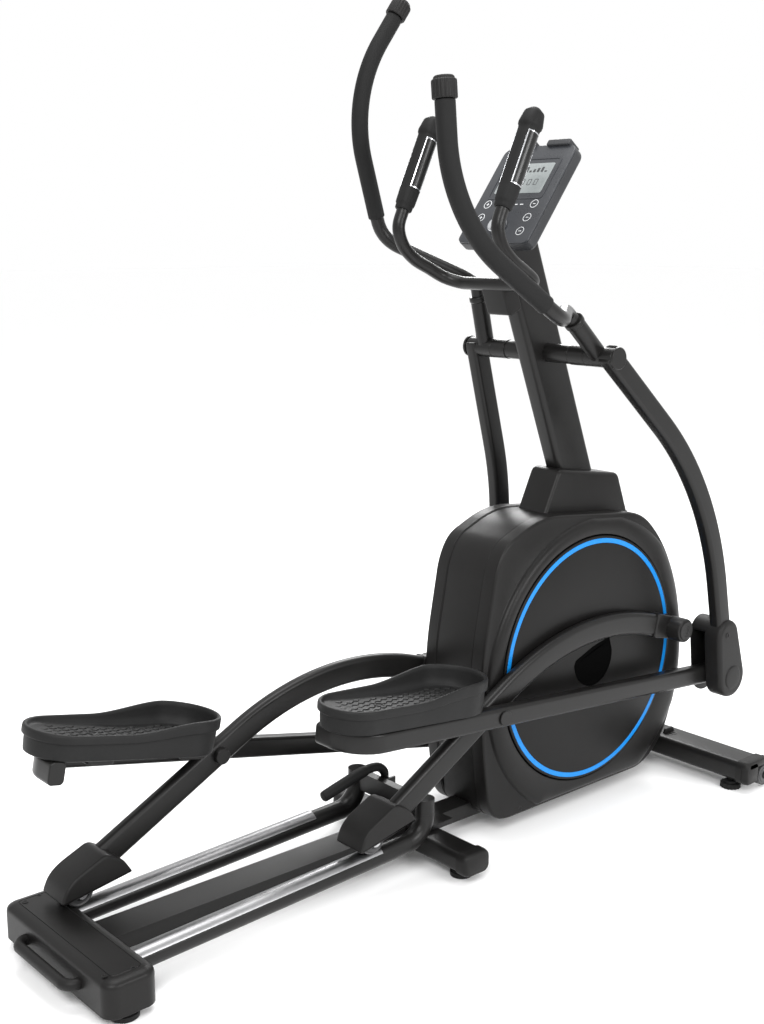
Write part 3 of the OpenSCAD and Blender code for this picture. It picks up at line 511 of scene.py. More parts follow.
def eased_copy(name, key, width=1.2, body="frame"):
    """A merged copy of a CAD node whose sharp edges are rounded by a bevel."""
    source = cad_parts[name]
    mesh = source.data.copy()
    mesh.name = name + "_eased"
    obj = bpy.data.objects.new(name + "_eased", mesh)
    bpy.context.scene.collection.objects.link(obj)
    bm = bmesh.new()
    bm.from_mesh(mesh)
    bmesh.ops.remove_doubles(bm, verts=bm.verts, dist=1e-6)
    bmesh.ops.dissolve_limit(bm, angle_limit=0.01, verts=bm.verts, edges=bm.edges)
    bm.to_mesh(mesh)
    bm.free()
    mesh.polygons.foreach_set("use_smooth", np.ones(len(mesh.polygons), bool))
    mesh.set_sharp_from_angle(angle=0.6)
    mod = obj.modifiers.new("eased_edges", "BEVEL")
    mod.width = width * MM
    mod.segments = 3
    mod.limit_method = "ANGLE"
    mod.angle_limit = 0.7
    mod.harden_normals = True
    mesh.materials.clear()
    mesh.materials.append(finish(key))
    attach(obj, body)
    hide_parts(name)
    return obj


# ---------------------------------------------------------------- sizes and colours in the panel


class TrainerShape(PropertyGroup):
    edge: FloatProperty(name="Tube corner", description="Corner radius of the steel tubes, in millimetres",
                        default=9.0, min=3.0, max=14.0)
    arm_depth: FloatProperty(name="Swing arm depth",
                             description="Depth of the swing arm tube, in millimetres",
                             default=44.0, min=36.0, max=46.0)
    link_depth: FloatProperty(name="Roller arm depth",
                              description="Depth of the roller arm tube, in millimetres",
                              default=50.0, min=44.0, max=52.0)
    foam_radius: FloatProperty(name="Grip radius",
                               description="Outside radius of the foam grip, in millimetres",
                               default=17.0, min=15.5, max=18.0)
    tube_radius: FloatProperty(name="Handle radius",
                               description="Radius of the handle tube, in millimetres",
                               default=14.0, min=12.0, max=15.0)
    tread_rows: IntProperty(name="Tread rows", description="Rows of raised lozenges along a foot tray",
                            default=15, min=8, max=24)


class TrainerLook(PropertyGroup):
    steel_colour: FloatVectorProperty(name="Steel colour", description="Colour of the powder coat",
                                      subtype="COLOR",
                                      default=(0.0075, 0.0072, 0.0070), min=0.0, max=1.0)
    shell_colour: FloatVectorProperty(name="Shell colour", description="Colour of the moulded covers",
                                      subtype="COLOR", default=(0.0080, 0.0076, 0.0074), min=0.0, max=1.0)
    ring_colour: FloatVectorProperty(name="Ring colour", description="Colour of the trim ring",
                                     subtype="COLOR",
                                     default=(0.003, 0.190, 0.560), min=0.0, max=1.0)
    floor_colour: FloatVectorProperty(name="Floor colour", description="Colour of the floor",
                                      subtype="COLOR",
                                      default=(1.0, 1.0, 1.0), min=0.0, max=1.0)


class FinishOperator(Operator):
    """Makes the finishes"""

    bl_idname = "trainer.finishes"
    bl_label = "Finishes"

    def execute(self, context):
        make_finishes(context.scene.trainer_look)
        return {"FINISHED"}


# ---------------------------------------------------------------- base frame

FRONT_X, FRONT_Z, FRONT_L = 748.0, 46.0, 600.0
FOOT_X, FOOT_Z, FOOT_L = -22.0, 38.0, 400.0
RAIL_Y = 100.0
COVER_L = 360.0


class BaseOperator(Operator):
    """Stabilisers, their caps and feet, and the base beam"""

    bl_idname = "trainer.base"
    bl_label = "Base and stabilisers"

    def execute(self, context):
        edge = context.scene.trainer_shape.edge
        tube = swept([(FRONT_X, y, FRONT_Z) for y in np.linspace(-FRONT_L / 2 + 30, FRONT_L / 2 - 30, 12)],
                     rounded_box(46, 82, edge + 3, 8), side=(0, 0, 1), ends=0)
        parts = [tube]
        for s in (-1, 1):
            parts.append(slab(spaced(filleted([(FRONT_X - 20, 66), (FRONT_X + 20, 66), (FRONT_X + 13, 79.5),
                                               (FRONT_X - 13, 79.5)], 4), 60), s * 55 - 3, s * 55 + 3, 1.0))
        v, f = stack(parts)
        make_mesh("front_tube", v, f, finish("powder"), "frame", "black_paint", "front_stabilizer")
        v, f = swept([(FOOT_X, y, FOOT_Z) for y in np.linspace(-FOOT_L / 2 + 26, FOOT_L / 2 - 26, 12)],
                     rounded_box(40, 62, edge + 3, 8), side=(0, 0, 1), ends=0)
        make_mesh("middle_tube", v, f, finish("powder"), "frame", "black_paint", "mid_stabilizer")
        caps = []
        for s in (-1, 1):
            for x, z, h, w, full, deep in ((FRONT_X, FRONT_Z, 52, 88, FRONT_L / 2, 30),
                                           (FOOT_X, FOOT_Z, 46, 68,
                                                                                         FOOT_L / 2, 26)):
                y = np.array([full - deep, full - deep * 0.5, full - 9, full - 4, full - 1.2, full]) * s
                k = [1.0, 1.0, 0.985, 0.95, 0.88, 0.80]
                path = [(x, q, z) for q in y]
                sec = rounded_box(h, w, 15, 8)
                if x == FRONT_X:
                    caps.append(swept(path[:2], sec, side=(0, 0, 1), ends=0))
                    rear = rounded_box(h, 46, 12, 8)
                    caps.append(swept([(x - 20, q, z) for q in y[1:]], rear, side=(0, 0, 1), ends=0,
                                      scale=k[1:]))
                    bridge = rounded_box(16, 78, 5, 6)
                    caps.append(swept([(x + 1, q, z + 18) for q in y[1:]], bridge, side=(0, 0, 1), ends=0,
                                      scale=k[1:]))
                    caps.append(turned_part([(0, s * (full - 20)), (4.9, s * (full - 20)),
                                             (4.9, s * (full - 3.6)),
                                             (9, s * (full - 3.6)), (9, s * (full - 1.6)),
                                             (8, s * (full - 1)),
                                             (0, s * (full - 1))], (FRONT_X + 32, 29), 24))
                else:
                    caps.append(swept(path, sec, side=(0, 0, 1), ends=0, scale=k))
        v, f = stack(caps)
        make_mesh("tube_caps", v, f, finish("shell_fine"), "frame", "charcoal_shell", "stabilizer_caps")
        pads = []
        for s in (-1, 1):
            for x, y, r, h in ((FOOT_X, FOOT_L / 2 - 45, 22, 17.7), (-757, COVER_L / 2 - 30, 25, 17)):
                pads.append(turned_part([(0, 0), (r - 2, 0), (r - 0.4, 1.2), (r, 3), (r, h * 0.55),
                                         (r - 3, h * 0.6),
                                         (r - 3, h * 0.7), (r - 1, h * 0.78), (r - 4, h - 0.3), (0, h)],
                                        (x, s * y), 40, "Z"))
        v, f = stack(pads)
        make_mesh("rubber_feet", v, f, finish("rubber"), "frame", "rubber_black", "foot_pads")
        for side, s in SIDES.items():
            t = np.linspace(0, 2 * math.pi, 96, endpoint=False)
            lobes = 22 + 0.9 * np.cos(16 * t)
            knob = np.stack([FRONT_X - 22 + lobes * np.cos(t),
                             -s * (FRONT_L / 2 - 55) + lobes * np.sin(t)], -1)
            body = [slab(knob, 0, 12, 2.0, 2.5, "Z"),
                    turned_part([(0, 12), (15, 12), (14, 16), (12, 17), (5, 17), (5, 33), (0, 33)],
                                (FRONT_X - 22, -s * (FRONT_L / 2 - 55)), 32, "Z")]
            v, f = stack(body)
            make_mesh("screw_foot_" + side, v, f, finish("rubber"), "foot_" + side, "rubber_black",
                      "foot_screw_" + side)
            y0, y1 = FRONT_L / 2 - 24, FRONT_L / 2 - 4
            v, f = turned_part([(5.05, y0), (16, y0), (17, y0 + 1.5), (21, y0 + 1.5), (22.5, y0),
                                (23.6, y0 + 1),
                                (24, y0 + 3), (24, y1 - 3), (23.6, y1 - 1), (22.5, y1), (21, y1 - 1.5),
                                (17, y1 - 1.5), (16, y1), (5.05, y1), (5.05, y0)], (FRONT_X + 32, 29), 64)
            v[:, 1] *= -s
            make_mesh("carry_wheel_" + side, v, f[:-2], finish("wheel"), "tread_" + side, "wheel_grey",
                      "transport_wheel_" + side)
        eased_copy("main_frame", "powder", 1.5)
        return {"FINISHED"}


class RailOperator(Operator):
    """Rails, tracks, rear cover with its handle, and the lock lever"""

    bl_idname = "trainer.rails"
    bl_label = "Rails and rear cover"

    def execute(self, context):
        dress("rail_frame", "powder")
        tracks = []
        t = np.radians(np.linspace(32, 148, 26))
        cap = np.vstack([21.5 * np.stack([np.cos(t), np.sin(t)], -1), 19.2 * np.stack([np.cos(t[::-1]),
                                                                                      np.sin(t[::-1])], -1)])
        for s in (-1, 1):
            x = np.linspace(-765, -188, 30)
            z = 70.5 + (x + 217) * math.tan(RAIL_SLOPE)
            tracks.append(swept(np.stack([x, np.full(30, s * RAIL_Y), z], -1), cap, ends=0))
        v, f = stack(tracks)
        make_mesh("rail_caps", v, f, finish("aluminium"), "frame", "rail_aluminium", "rail_tracks",
                  sharp=0.7)
        half_x, mid = 47.5, -754.5
        rings = [(12, 17), (0.8, 17), (0, 18), (0, 66), (0.7, 70.5), (2.4, 73.6), (6, 76.3), (10, 78.1),
                 (14, 79.3),
                 (19, 80), (19.6, 79.0), (20.8, 79.0), (21.4, 80), (34, 80)]
        plan = [rounded_box(2 * (half_x - i), COVER_L - 2 * i, max(24 - i * 0.8, 3.0), 24) + [mid, 0]
                for i, z in rings]
        verts = np.concatenate([np.concatenate([q, np.full((len(q), 1), z)], -1) for q,
                                (i, z) in zip(plan, rings)])
        parts = [(verts, ring_faces(len(rings), len(plan[0])))]
        for s in (-1, 1):
            parts.append(turned_part([(0, 79.6), (4.6, 79.6), (5.4, 80.4), (5.4, 80.9), (3.4, 81.0),
                                      (2.6, 80.2),
                                      (0, 80.2)], (-780 + 8 * s, s * (COVER_L / 2 - 30)), 32, "Z"))
        make_mesh("rear_shell", *stack(parts), finish("shell"), "frame", "charcoal_shell", "rear_cover")
        t = np.radians(np.linspace(0, 90, 14))
        half = [(-774.5, 90, 46), (-790, 90, 46), (-799, 90, 46)]
        bend = np.stack([-802 - 20 * np.sin(t), 70 + 20 * np.cos(t), np.full(14, 46.0)], -1)
        path = np.vstack([half, bend, [(-822, y, 46) for y in np.linspace(60, -60, 20)],
                          (bend * [1, -1, 1])[::-1], (np.array(half) * [1, -1, 1])[::-1]])
        v, f = swept(path, round_section(9.8, 24), side=(0, 0, 1), ends=2)
        make_mesh("carry_handle", v, f, finish("shell_fine"), "frame", "charcoal_shell", "rear_handle")
        bar = smooth_curve([(-205, 40, 146), (-160, 40, 157.5), (-112, 40, 169), (-88, 40, 173),
                            (-64, 40, 170),
                            (-50, 40, 158), (-46, 40, 142)], 60)
        grip = np.interp(np.linspace(0, 1, 60), [0, 0.06, 0.5, 0.54, 0.88, 1],
                         [0.96, 1.0, 1.0, 0.84, 0.80, 0.68])
        v0 = swept(bar, round_section(11, 28), ends=4, scale=grip)
        v1 = turned_part([(8.05, 32), (11.6, 32), (12.5, 33), (12.5, 47), (11.6, 48), (8.05, 48),
                          (8.05, 32)], (-46, 130), 36)
        v, f = stack([v0, (v1[0], v1[1][:-2])])
        make_mesh("lock_handle", v, f, finish("rubber"), "lever", "black_paint", "lock_lever")
        return {"FINISHED"}


# ---------------------------------------------------------------- housing

BODY = [(132, 34), (104, 200), (98, 364), (135, 560), (160, 605), (268, 650), (580, 617), (650, 540),
        (700, 440),
        (722, 320), (712, 200), (665, 90), (600, 34)]
# Side panel: the same outline, set out a little in front and at the foot
PANEL = [(128, 30), (103, 200), (97, 364), (134, 560), (160, 606), (268, 652), (584, 619), (660, 545),
         (716, 440),
         (741, 320), (734, 200), (690, 86), (620, 30)]
PANEL_Y = 84.0
BULGE = np.array([428.0, 310.0])
BULGE_R = 318.0
DISC_R = 262.0
SCREWS = [(640, 520), (112, 300), (610, 62), (430, 42), (215, 42)]


def body_outline(n=360):
    """The housing's outline with its corners eased, evenly spaced."""
    return spaced(filleted(BODY, [40, 200, 200, 60, 70, 90, 90, 90, 90, 120, 120, 90, 40], 12), n)


class HousingOperator(Operator):
    """Housing shells, boot, crank discs, rings and screws"""

    bl_idname = "trainer.housing"
    bl_label = "Housing"

    def execute(self, context):
        n = 360
        band = body_outline(n)
        outline = spaced(filleted(PANEL, [60, 200, 200, 80, 70, 60, 60, 90, 90, 120, 90, 60, 40], 12), n)
        t = np.unwrap(np.arctan2(outline[:, 1] - CRANK[1], outline[:, 0] - CRANK[0]))
        ray = np.stack([np.cos(t), np.sin(t)], -1)
        # distance along each ray to the raised circle; the flat flange shows only where the outline is wider
        d = CRANK - BULGE
        b = ray @ d
        reach = -b + np.sqrt(b * b - (d @ d - BULGE_R**2))
        limit = np.linalg.norm(outline - CRANK, axis=1)
        r0 = DISC_R + 2.5
        edge = limit
        reach = np.minimum(reach, edge - 9.0)
        soft = np.clip((reach - r0) * 0.62, 4.0, 30.0)
        rings = []

        def ray_ring(r, y):
            p = CRANK + ray * np.broadcast_to(r, n)[:, None]
            rings.append(np.stack([p[:, 0], np.broadcast_to(y, n), p[:, 1]], -1))

        for r, y in ((r0, 80.0), (r0, 95.5), (r0 + 0.7, 97.3), (r0 + 2.2, 98.0)):
            ray_ring(r, y)
        for a in np.radians([0, 15, 30, 45, 60, 75, 90]):
            ray_ring(reach - soft * (1 - math.sin(a)), 98.0 - (97.2 - PANEL_Y) * (1 - math.cos(a)))
        ray_ring(reach + 1.0, PANEL_Y)
        for a in np.radians([0, 22, 45, 68, 90]):
            ray_ring(edge - 6.0 * (1 - math.sin(a)), PANEL_Y - 6.0 * (1 - math.cos(a)))
        for inset, y in ((0.0, 53.6), (1.2, 52.8), (1.2, 50.3)):
            ray_ring(edge - inset, y)
        skin = np.concatenate(rings)
        m = len(rings)
        faces = ring_faces(m, n)[:-2]
        for side, s in SIDES.items():
            v = skin.copy()
            inner = skin.copy()
            inner[:, 1] = np.maximum(inner[:, 1] - 2.4, 50.0)
            mid = np.array([CRANK[0], 0, CRANK[1]])
            away = inner - mid
            away[:, 1] = 0
            length = np.linalg.norm(away, axis=1, keepdims=True)
            shrink = np.where(length > r0 + 4, 2.0, -0.0)
            inner = inner - away / length * shrink
            back = [[q + m * n for q in face[::-1]] for face in faces]
            j = np.arange(n)
            k = (j + 1) % n
            rim0 = np.stack([j, j + m * n, k + m * n, k], -1).tolist()
            o = (m - 1) * n
            rim1 = np.stack([j + o, k + o, k + o + m * n, j + o + m * n], -1).tolist()
            allv = np.concatenate([v, inner])
            allv[:, 1] *= -s
            make_mesh("drive_shell_" + side, allv, faces + back + rim0 + rim1, finish("shell"), "frame",
                      "charcoal_shell", "housing_" + side, sharp=0.9)
        strip = slab(band, -50.0, 50.0, 1.5)
        make_mesh("drive_band", *strip, finish("shell"), "frame", "charcoal_shell", "housing_rear")
        boot = spaced(filleted([(312, 628), (362, 731), (552, 702), (590, 606)], [4, 14, 12, 4], 8), 200)
        v, f = slab(boot, -40, 40, 9.0, n=8)
        make_mesh("mast_collar", v, f, finish("shell"), "frame", "charcoal_shell", "mast_boot")
        discs, ring_parts, pockets = [], [], []
        for s in (1, -1):
            y = 100.0
            inner_r = DISC_R - 5 - 10
            prof = [(0, 89), (DISC_R, 89), (DISC_R, 98.6), (DISC_R - 0.8, 99.6), (DISC_R - 2, y),
                    (DISC_R - 4.8, y), (DISC_R - 4.9, 98.5), (inner_r - 0.1, 98.5),
                    (inner_r - 0.2, y - 0.2),
                    (inner_r - 1.5, y), (150, y), (60, y), (0, y)]
            v, f = turned_part(prof, CRANK, 180)
            v[:, 1] *= -s
            discs.append((v, f))
            a = CRANK_TILT + (0 if s > 0 else math.pi)
            # half-round recess beside the bolted plate over the crank boss: a near-black shallow dish whose
            # colour is painted shade standing in for the depth of the recess, which is not cut into the disc
            u = np.linspace(0, -math.pi, 40)
            bowl = np.vstack([np.stack([60 * np.cos(u), 62 * np.sin(u)], -1),
                              [(-54, 10), (0, 24), (54, 30)]])
            bowl = spaced(filleted(bowl, 2.0, 3), 160)
            c, q = math.cos(a), math.sin(a)
            at = np.stack([bowl[:, 0] * c - bowl[:, 1] * q + CRANK[0] + 6 * c,
                           bowl[:, 0] * q + bowl[:, 1] * c + CRANK[1] + 6 * q], -1)
            v, f = slab(at, y - 2.0, y + 0.9, 0.2, 0.5, n=4,
                        extra=((y + 0.9, 2.0), (y + 0.15, 2.6), (y + 0.1, 8.0)))
            v[:, 1] *= -s
            pockets.append((v, f))
            v, f = turned_part([(inner_r + 0.1, 98.6), (DISC_R - 5.1, 98.6), (DISC_R - 5.1, 100.1),
                                (DISC_R - 5.6, 100.5), (inner_r + 0.6, 100.5), (inner_r + 0.1, 100.1),
                                (inner_r + 0.1, 98.6)], CRANK, 180)
            v[:, 1] *= -s
            ring_parts.append((v, f[:-2]))
        v, f = stack(discs)
        make_mesh("crank_faces", v, f, finish("disc"), "crank", "charcoal_shell", "crank_discs", sharp=0.5)
        v, f = stack(ring_parts)
        make_mesh("accent_rings", v, f, finish("ring"), "crank", "trim_ring", "crank_rings", sharp=0.5)
        # near-black sheets on the disc faces: painted shade of the recesses
        v, f = stack(pockets)
        make_mesh("disc_pockets", v, f, finish("pocket"), "crank", "charcoal_shell", sharp=0.5)
        screws = []
        for s in (-1, 1):
            for x, z in SCREWS:
                part = turned_part([(0, 82.0), (6.5, 82.0), (6.5, 84.2), (5.6, 84.7), (4.6, 84.7),
                                    (3.9, 83.4),
                                    (2.2, 83.2), (0, 83.2)], (x, z), 28)
                screws.append((part[0] * [1, s, 1], part[1]))
            for x, y, z, r in ((-742, COVER_L / 2 - 22, 80.0, 4.0), (FRONT_X, 70, 69.0, 8.0)):
                screws.append(turned_part([(0, z - 3), (r, z - 3), (r, z + 0.2), (r - 0.8, z + 0.9),
                                           (r * 0.55, z + 1.0),
                                           (r * 0.45, z + 0.1), (0, z + 0.1)], (x, s * y), 28, "Z"))
        v, f = stack(screws)
        make_mesh("shell_screws", v, f, finish("screw"), "frame", "steel_plain", "screws", sharp=0.5)
        dress("crank_set", "steel")
        dress("drive_pulley", "wheel")
        dress("flywheel", "iron")
        dress("drive_axles", "steel")
        dress("drive_belt", "rubber")
        dress("belt_tensioner", "steel")
        dress("brake_unit", "steel")
        return {"FINISHED"}


# ---------------------------------------------------------------- mast and console

LEAN = math.radians(21.2)
FACE_LEAN = math.radians(37.0)


def on_mast(p):
    """From along, across and up the mast to the frame."""
    return turned(p, LEAN, PIVOT)


def on_face(p):
    """From the console face's plane (depth, across, up) to the frame."""
    return turned(p, -FACE_LEAN, (187.0, 1189.0))


class MastOperator(Operator):
    """Mast, cross axle, and the bracket and bars of the pulse grips"""

    bl_idname = "trainer.mast"
    bl_label = "Mast and pulse bar"

    def execute(self, context):
        z = np.linspace(-400, 250, 30)
        v, f = swept([(0, 0, q) for q in z], rounded_box(44, 97, 12, 8), side=(0, 1, 0), ends=1.5)
        make_mesh("mast_tube", on_mast(v), f, finish("powder"), "frame", "black_paint", "mast")
        axle = [(0, -205), (20, -205), (22, -203.5), (22, -200), (21, -199), (14, -199), (14, -85.4),
                (18.2, -85.4),
                (19, -84.4), (19, 84.4), (18.2, 85.4), (14, 85.4), (14, 199), (21, 199), (22, 200),
                (22, 203.5),
                (20, 205), (0, 205)]
        v0 = turned_part(axle, PIVOT, 48)
        v, f = stack([v0])
        make_mesh("axle_bar", v, f, finish("powder"), "frame", "black_paint", "cross_axle")
        pts = np.array([(200, 0, 1110), (200, 55, 1110), (199, 92, 1111), (180, 120, 1121),
                        (146, 128, 1139),
                        (110, 133, 1158), (82, 134, 1184), (70, 134, 1218), (81, 134, 1251),
                        (96, 134, 1283)], float)
        path = smooth_curve(pts, 90)
        full = np.vstack([(path * [1, -1, 1])[::-1][:-1], path])
        v, f = swept(full, round_section(12.5, 28), side=(0, 0, 1), ends=1)
        make_mesh("pulse_tube", v, f, finish("powder"), "frame", "black_paint", "pulse_bar")
        grips, plates, rims = [], [], []
        for s in (-1, 1):
            base = np.array([81.0, s * 134.0, 1251.0])
            axis = np.array([math.sin(math.radians(25)), 0, math.cos(math.radians(25))])
            h = np.array([0, 1.5, 4, 9, 12, 15, 38, 41, 42, 150, 151.5, 156, 158.5, 164, 185, 188, 191,
                          194.6])
            r = np.array([14.5, 15.6, 16, 16, 17.6, 18, 18.6, 18.6, 18.8, 18.8, 18.8, 19.4, 21, 21.6, 18,
                          16.5, 13, 9])
            half = np.stack([np.cos(np.linspace(0, 2 * math.pi, 40, endpoint=False)),
                             np.sin(np.linspace(0, 2 * math.pi, 40, endpoint=False))], -1)
            box = np.sign(half) * np.abs(half) ** 0.8
            grips.append(swept(base + h[:, None] * axis, box, ends=0, scale=r))
            for half in (0, math.pi):
                u = np.radians(np.linspace(48, 132, 20)) + half
                outer = np.stack([20.2 * np.cos(u), 20.2 * np.sin(u)], -1)
                inner = np.stack([19.05 * np.cos(u[::-1]), 19.05 * np.sin(u[::-1])], -1)
                sec = np.vstack([outer, inner])[:, ::-1]
                hh = np.linspace(45, 147, 12)
                plates.append(swept(base + hh[:, None] * axis, sec, ends=0))
                for q in (48, 132):
                    w = np.radians(np.linspace(q - 3, q + 3, 6)) + half
                    edge = np.vstack([np.stack([20.4 * np.cos(w), 20.4 * np.sin(w)], -1),
                                      np.stack([19.2 * np.cos(w[::-1]), 19.2 * np.sin(w[::-1])], -1)])[:,
                                          ::-1]
                    rims.append(swept(base + np.linspace(44, 148, 12)[:, None] * axis, edge, ends=0))
                across = np.radians(np.linspace(46, 134, 20)) + half
                edge = np.vstack([np.stack([20.4 * np.cos(across), 20.4 * np.sin(across)], -1),
                                  np.stack([19.2 * np.cos(across[::-1]), 19.2 * np.sin(across[::-1])],
                                           -1)])[:, ::-1]
                for q in (44.0, 146.0):
                    rims.append(swept(base + np.linspace(q, q + 2, 3)[:, None] * axis, edge, ends=0))
        v, f = stack(grips)
        make_mesh("pulse_handles", v, f, finish("rubber"), "frame", "rubber_black", "pulse_grips")
        v, f = stack(plates)
        make_mesh("contact_plates", v, f, finish("dark_plate"), "frame", "plate_chrome", "pulse_plates",
                  sharp=0.9)
        v, f = stack(rims)
        make_mesh("plate_rims", v, f, finish("chrome"), "frame", "plate_chrome", sharp=0.9)
        v, f = slab(spaced(filleted([(-88, 120), (-88, 178), (-80, 182), (-49, 182), (-49, 116),
                                     (-82, 116)], 10), 120),
                    -30, 30, 4.0)
        make_mesh("bar_clamp", on_mast(v), f, finish("shell_fine"), "frame", "charcoal_shell",
                  "bar_bracket")
        return {"FINISHED"}


class ConsoleOperator(Operator):
    """Console shell, face, display and dial"""

    bl_idname = "trainer.console"
    bl_label = "Console"

    def execute(self, context):
        w, l = 95.0, 236.0
        shell = spaced(filleted([(-w, 8), (-w + 10, 0), (w - 10, 0), (w, 8), (w, l - 14), (w - 16, l),
                                 (-w + 16, l),
                                 (-w, l - 14)], 16, 8), 240)
        v0 = slab(shell, 3.8, 28, 1.0, 7.0, "X", n=8)
        back = spaced(filleted([(-62, 26), (62, 26), (56, 168), (-56, 168)], 18, 8), 120)
        v1 = slab(back, 20, 56, 1.0, 12.0, "X", n=8)
        parts = [v0, v1]
        for a, b in ((-w + 20, -16), (16, w - 20)):
            lip = spaced(filleted([(a, l - 6), (b, l - 6), (b, l + 7.6), (a, l + 7.6)], 4, 6), 80)
            parts.append(slab(lip, -6, 27, 2.0, 3.0, "X"))
        v, f = stack(parts)
        make_mesh("console_body", on_face(v), f, finish("console"), "frame", "console_shell",
                  "console_case")
        face = spaced(filleted([(-w + 1, 8), (-w + 11, 1), (w - 11, 1), (w - 1, 8), (w - 1, l - 14),
                                (w - 17, l - 1),
                                (-w + 17, l - 1), (-w + 1, l - 14)], 15, 8), 240)
        # the front face is at zero depth, with a shallow sunk field round the display and a raised dial boss
        v0 = slab(face, 0.0, 3.5, 1.2, 0.3, "X")
        trim = []
        field = spaced(filleted([(-74, 104), (74, 104), (74, 204), (-74, 204)], 10, 8), 120)
        inner = spaced(filleted([(-70, 108), (70, 108), (70, 200), (-70, 200)], 8, 8), 120)
        n = len(field)
        depth = [(-0.1, field), (-0.9, field * 0.998 + [0, 0.3]), (-0.9, inner), (-0.1, inner)]
        verts = np.concatenate([np.concatenate([np.full((n, 1), d), o], -1) for d, o in depth])
        faces = ring_faces(4, n)[:-2]
        j = np.arange(n)
        k = (j + 1) % n
        faces += np.stack([j + 3 * n, k + 3 * n, k, j], -1).tolist()
        trim.append((verts, faces))
        boss = turned_part([(17.6, 0.2), (19, 0.2), (20.5, -0.6), (21, -1.4), (20, -2.2), (18.4, -2.2),
                            (17.6, -1.4),
                            (17.6, 0.2)], (0, 36), 60)
        bv = boss[0][:, [1, 0, 2]]
        trim.append((bv, [q[::-1] for q in boss[1][:-2]]))
        v, f = stack([v0] + trim)
        make_mesh("console_front", on_face(v), f, finish("panel"), "frame", "panel_face", "console_panel")
        glass = slab(spaced(filleted([(-62, 118), (62, 118), (62, 190), (-62, 190)], 3, 6), 80), -0.7,
                     1.9, 0.3, 0.3,
                     "X")
        make_mesh("display_window", on_face(glass[0]), glass[1], finish("glass"), "frame", "screen",
                  "console_screen")
        marks, legends = [], []

        def bar(y0, y1, z0, z1, depth, store):
            q = spaced(filleted([(y0, z0), (y1, z0), (y1, z1), (y0, z1)], 1.0, 3), 24)
            store.append(slab(q, depth, depth + 0.5, 0.1, 0.1, "X", n=2))

        for col in range(5):
            y = -40 + col * 17
            bar(y, y + 9, 150, 151.2, -1.0, marks)
            bar(y, y + 1.2, 138, 150, -1.0, marks)
            bar(y + 7.8, y + 9, 138, 150, -1.0, marks)
            bar(y, y + 9, 137, 138.2, -1.0, marks)
        for i in range(10):
            bar(-50 + i * 10, -44 + i * 10, 168, 170 + 1.3 * (1 + (i * 7) % 9), -1.0, marks)
        v, f = stack(marks)
        make_mesh("display_marks", on_face(v), f, finish("segment"), "frame", "screen")
        for y, z in ((-62, 92), (62, 92), (-62, 60), (62, 60), (-62, 28), (62, 28)):
            ring = turned_part([(8.4, -0.1), (9.4, -0.1), (9.4, -0.7), (8.4, -0.7), (8.4, -0.1)], (y, z),
                               36)
            legends.append((ring[0][:, [1, 0, 2]], [q[::-1] for q in ring[1][:-2]]))
            bar(y - 3.6, y + 3.6, z - 0.7, z + 0.7, -0.6, legends)
            if y > 0:
                bar(y - 0.7, y + 0.7, z - 3.6, z + 3.6, -0.6, legends)
        for q in range(5):
            bar(-34 + q * 15, -25 + q * 15, 90, 92, -0.6, legends)
        v, f = stack(legends)
        make_mesh("face_legends", on_face(v), f, finish("legend"), "frame", "panel_face")
        t = np.linspace(0, 2 * math.pi, 144, endpoint=False)
        flute = 16.6 + 0.4 * np.cos(36 * t)
        knob = np.stack([flute * np.cos(t), 36 + flute * np.sin(t)], -1)
        v0 = slab(knob, -14, -0.4, 1.6, 0.6, "X")
        v2 = slab(np.stack([6 * np.cos(t), 36 + 6 * np.sin(t)], -1), -1.0, 17, 0.3, 0.3, "X")
        v, f = stack([v0, v2])
        make_mesh("dial_knob", on_face(v), f, finish("chrome"), "dial", "plate_chrome", "console_dial")
        return {"FINISHED"}


# ---------------------------------------------------------------- moving arms

BEND = math.radians(18.5)
ARM_R = 680.0
ARM_S = (ARM_L - 2 * ARM_R * math.sin(BEND)) / (2 * math.cos(BEND))
ARM_C = np.array([ARM_S * math.sin(BEND) - ARM_R * math.cos(BEND), -ARM_L / 2])
SOCKET = math.radians(17.3)


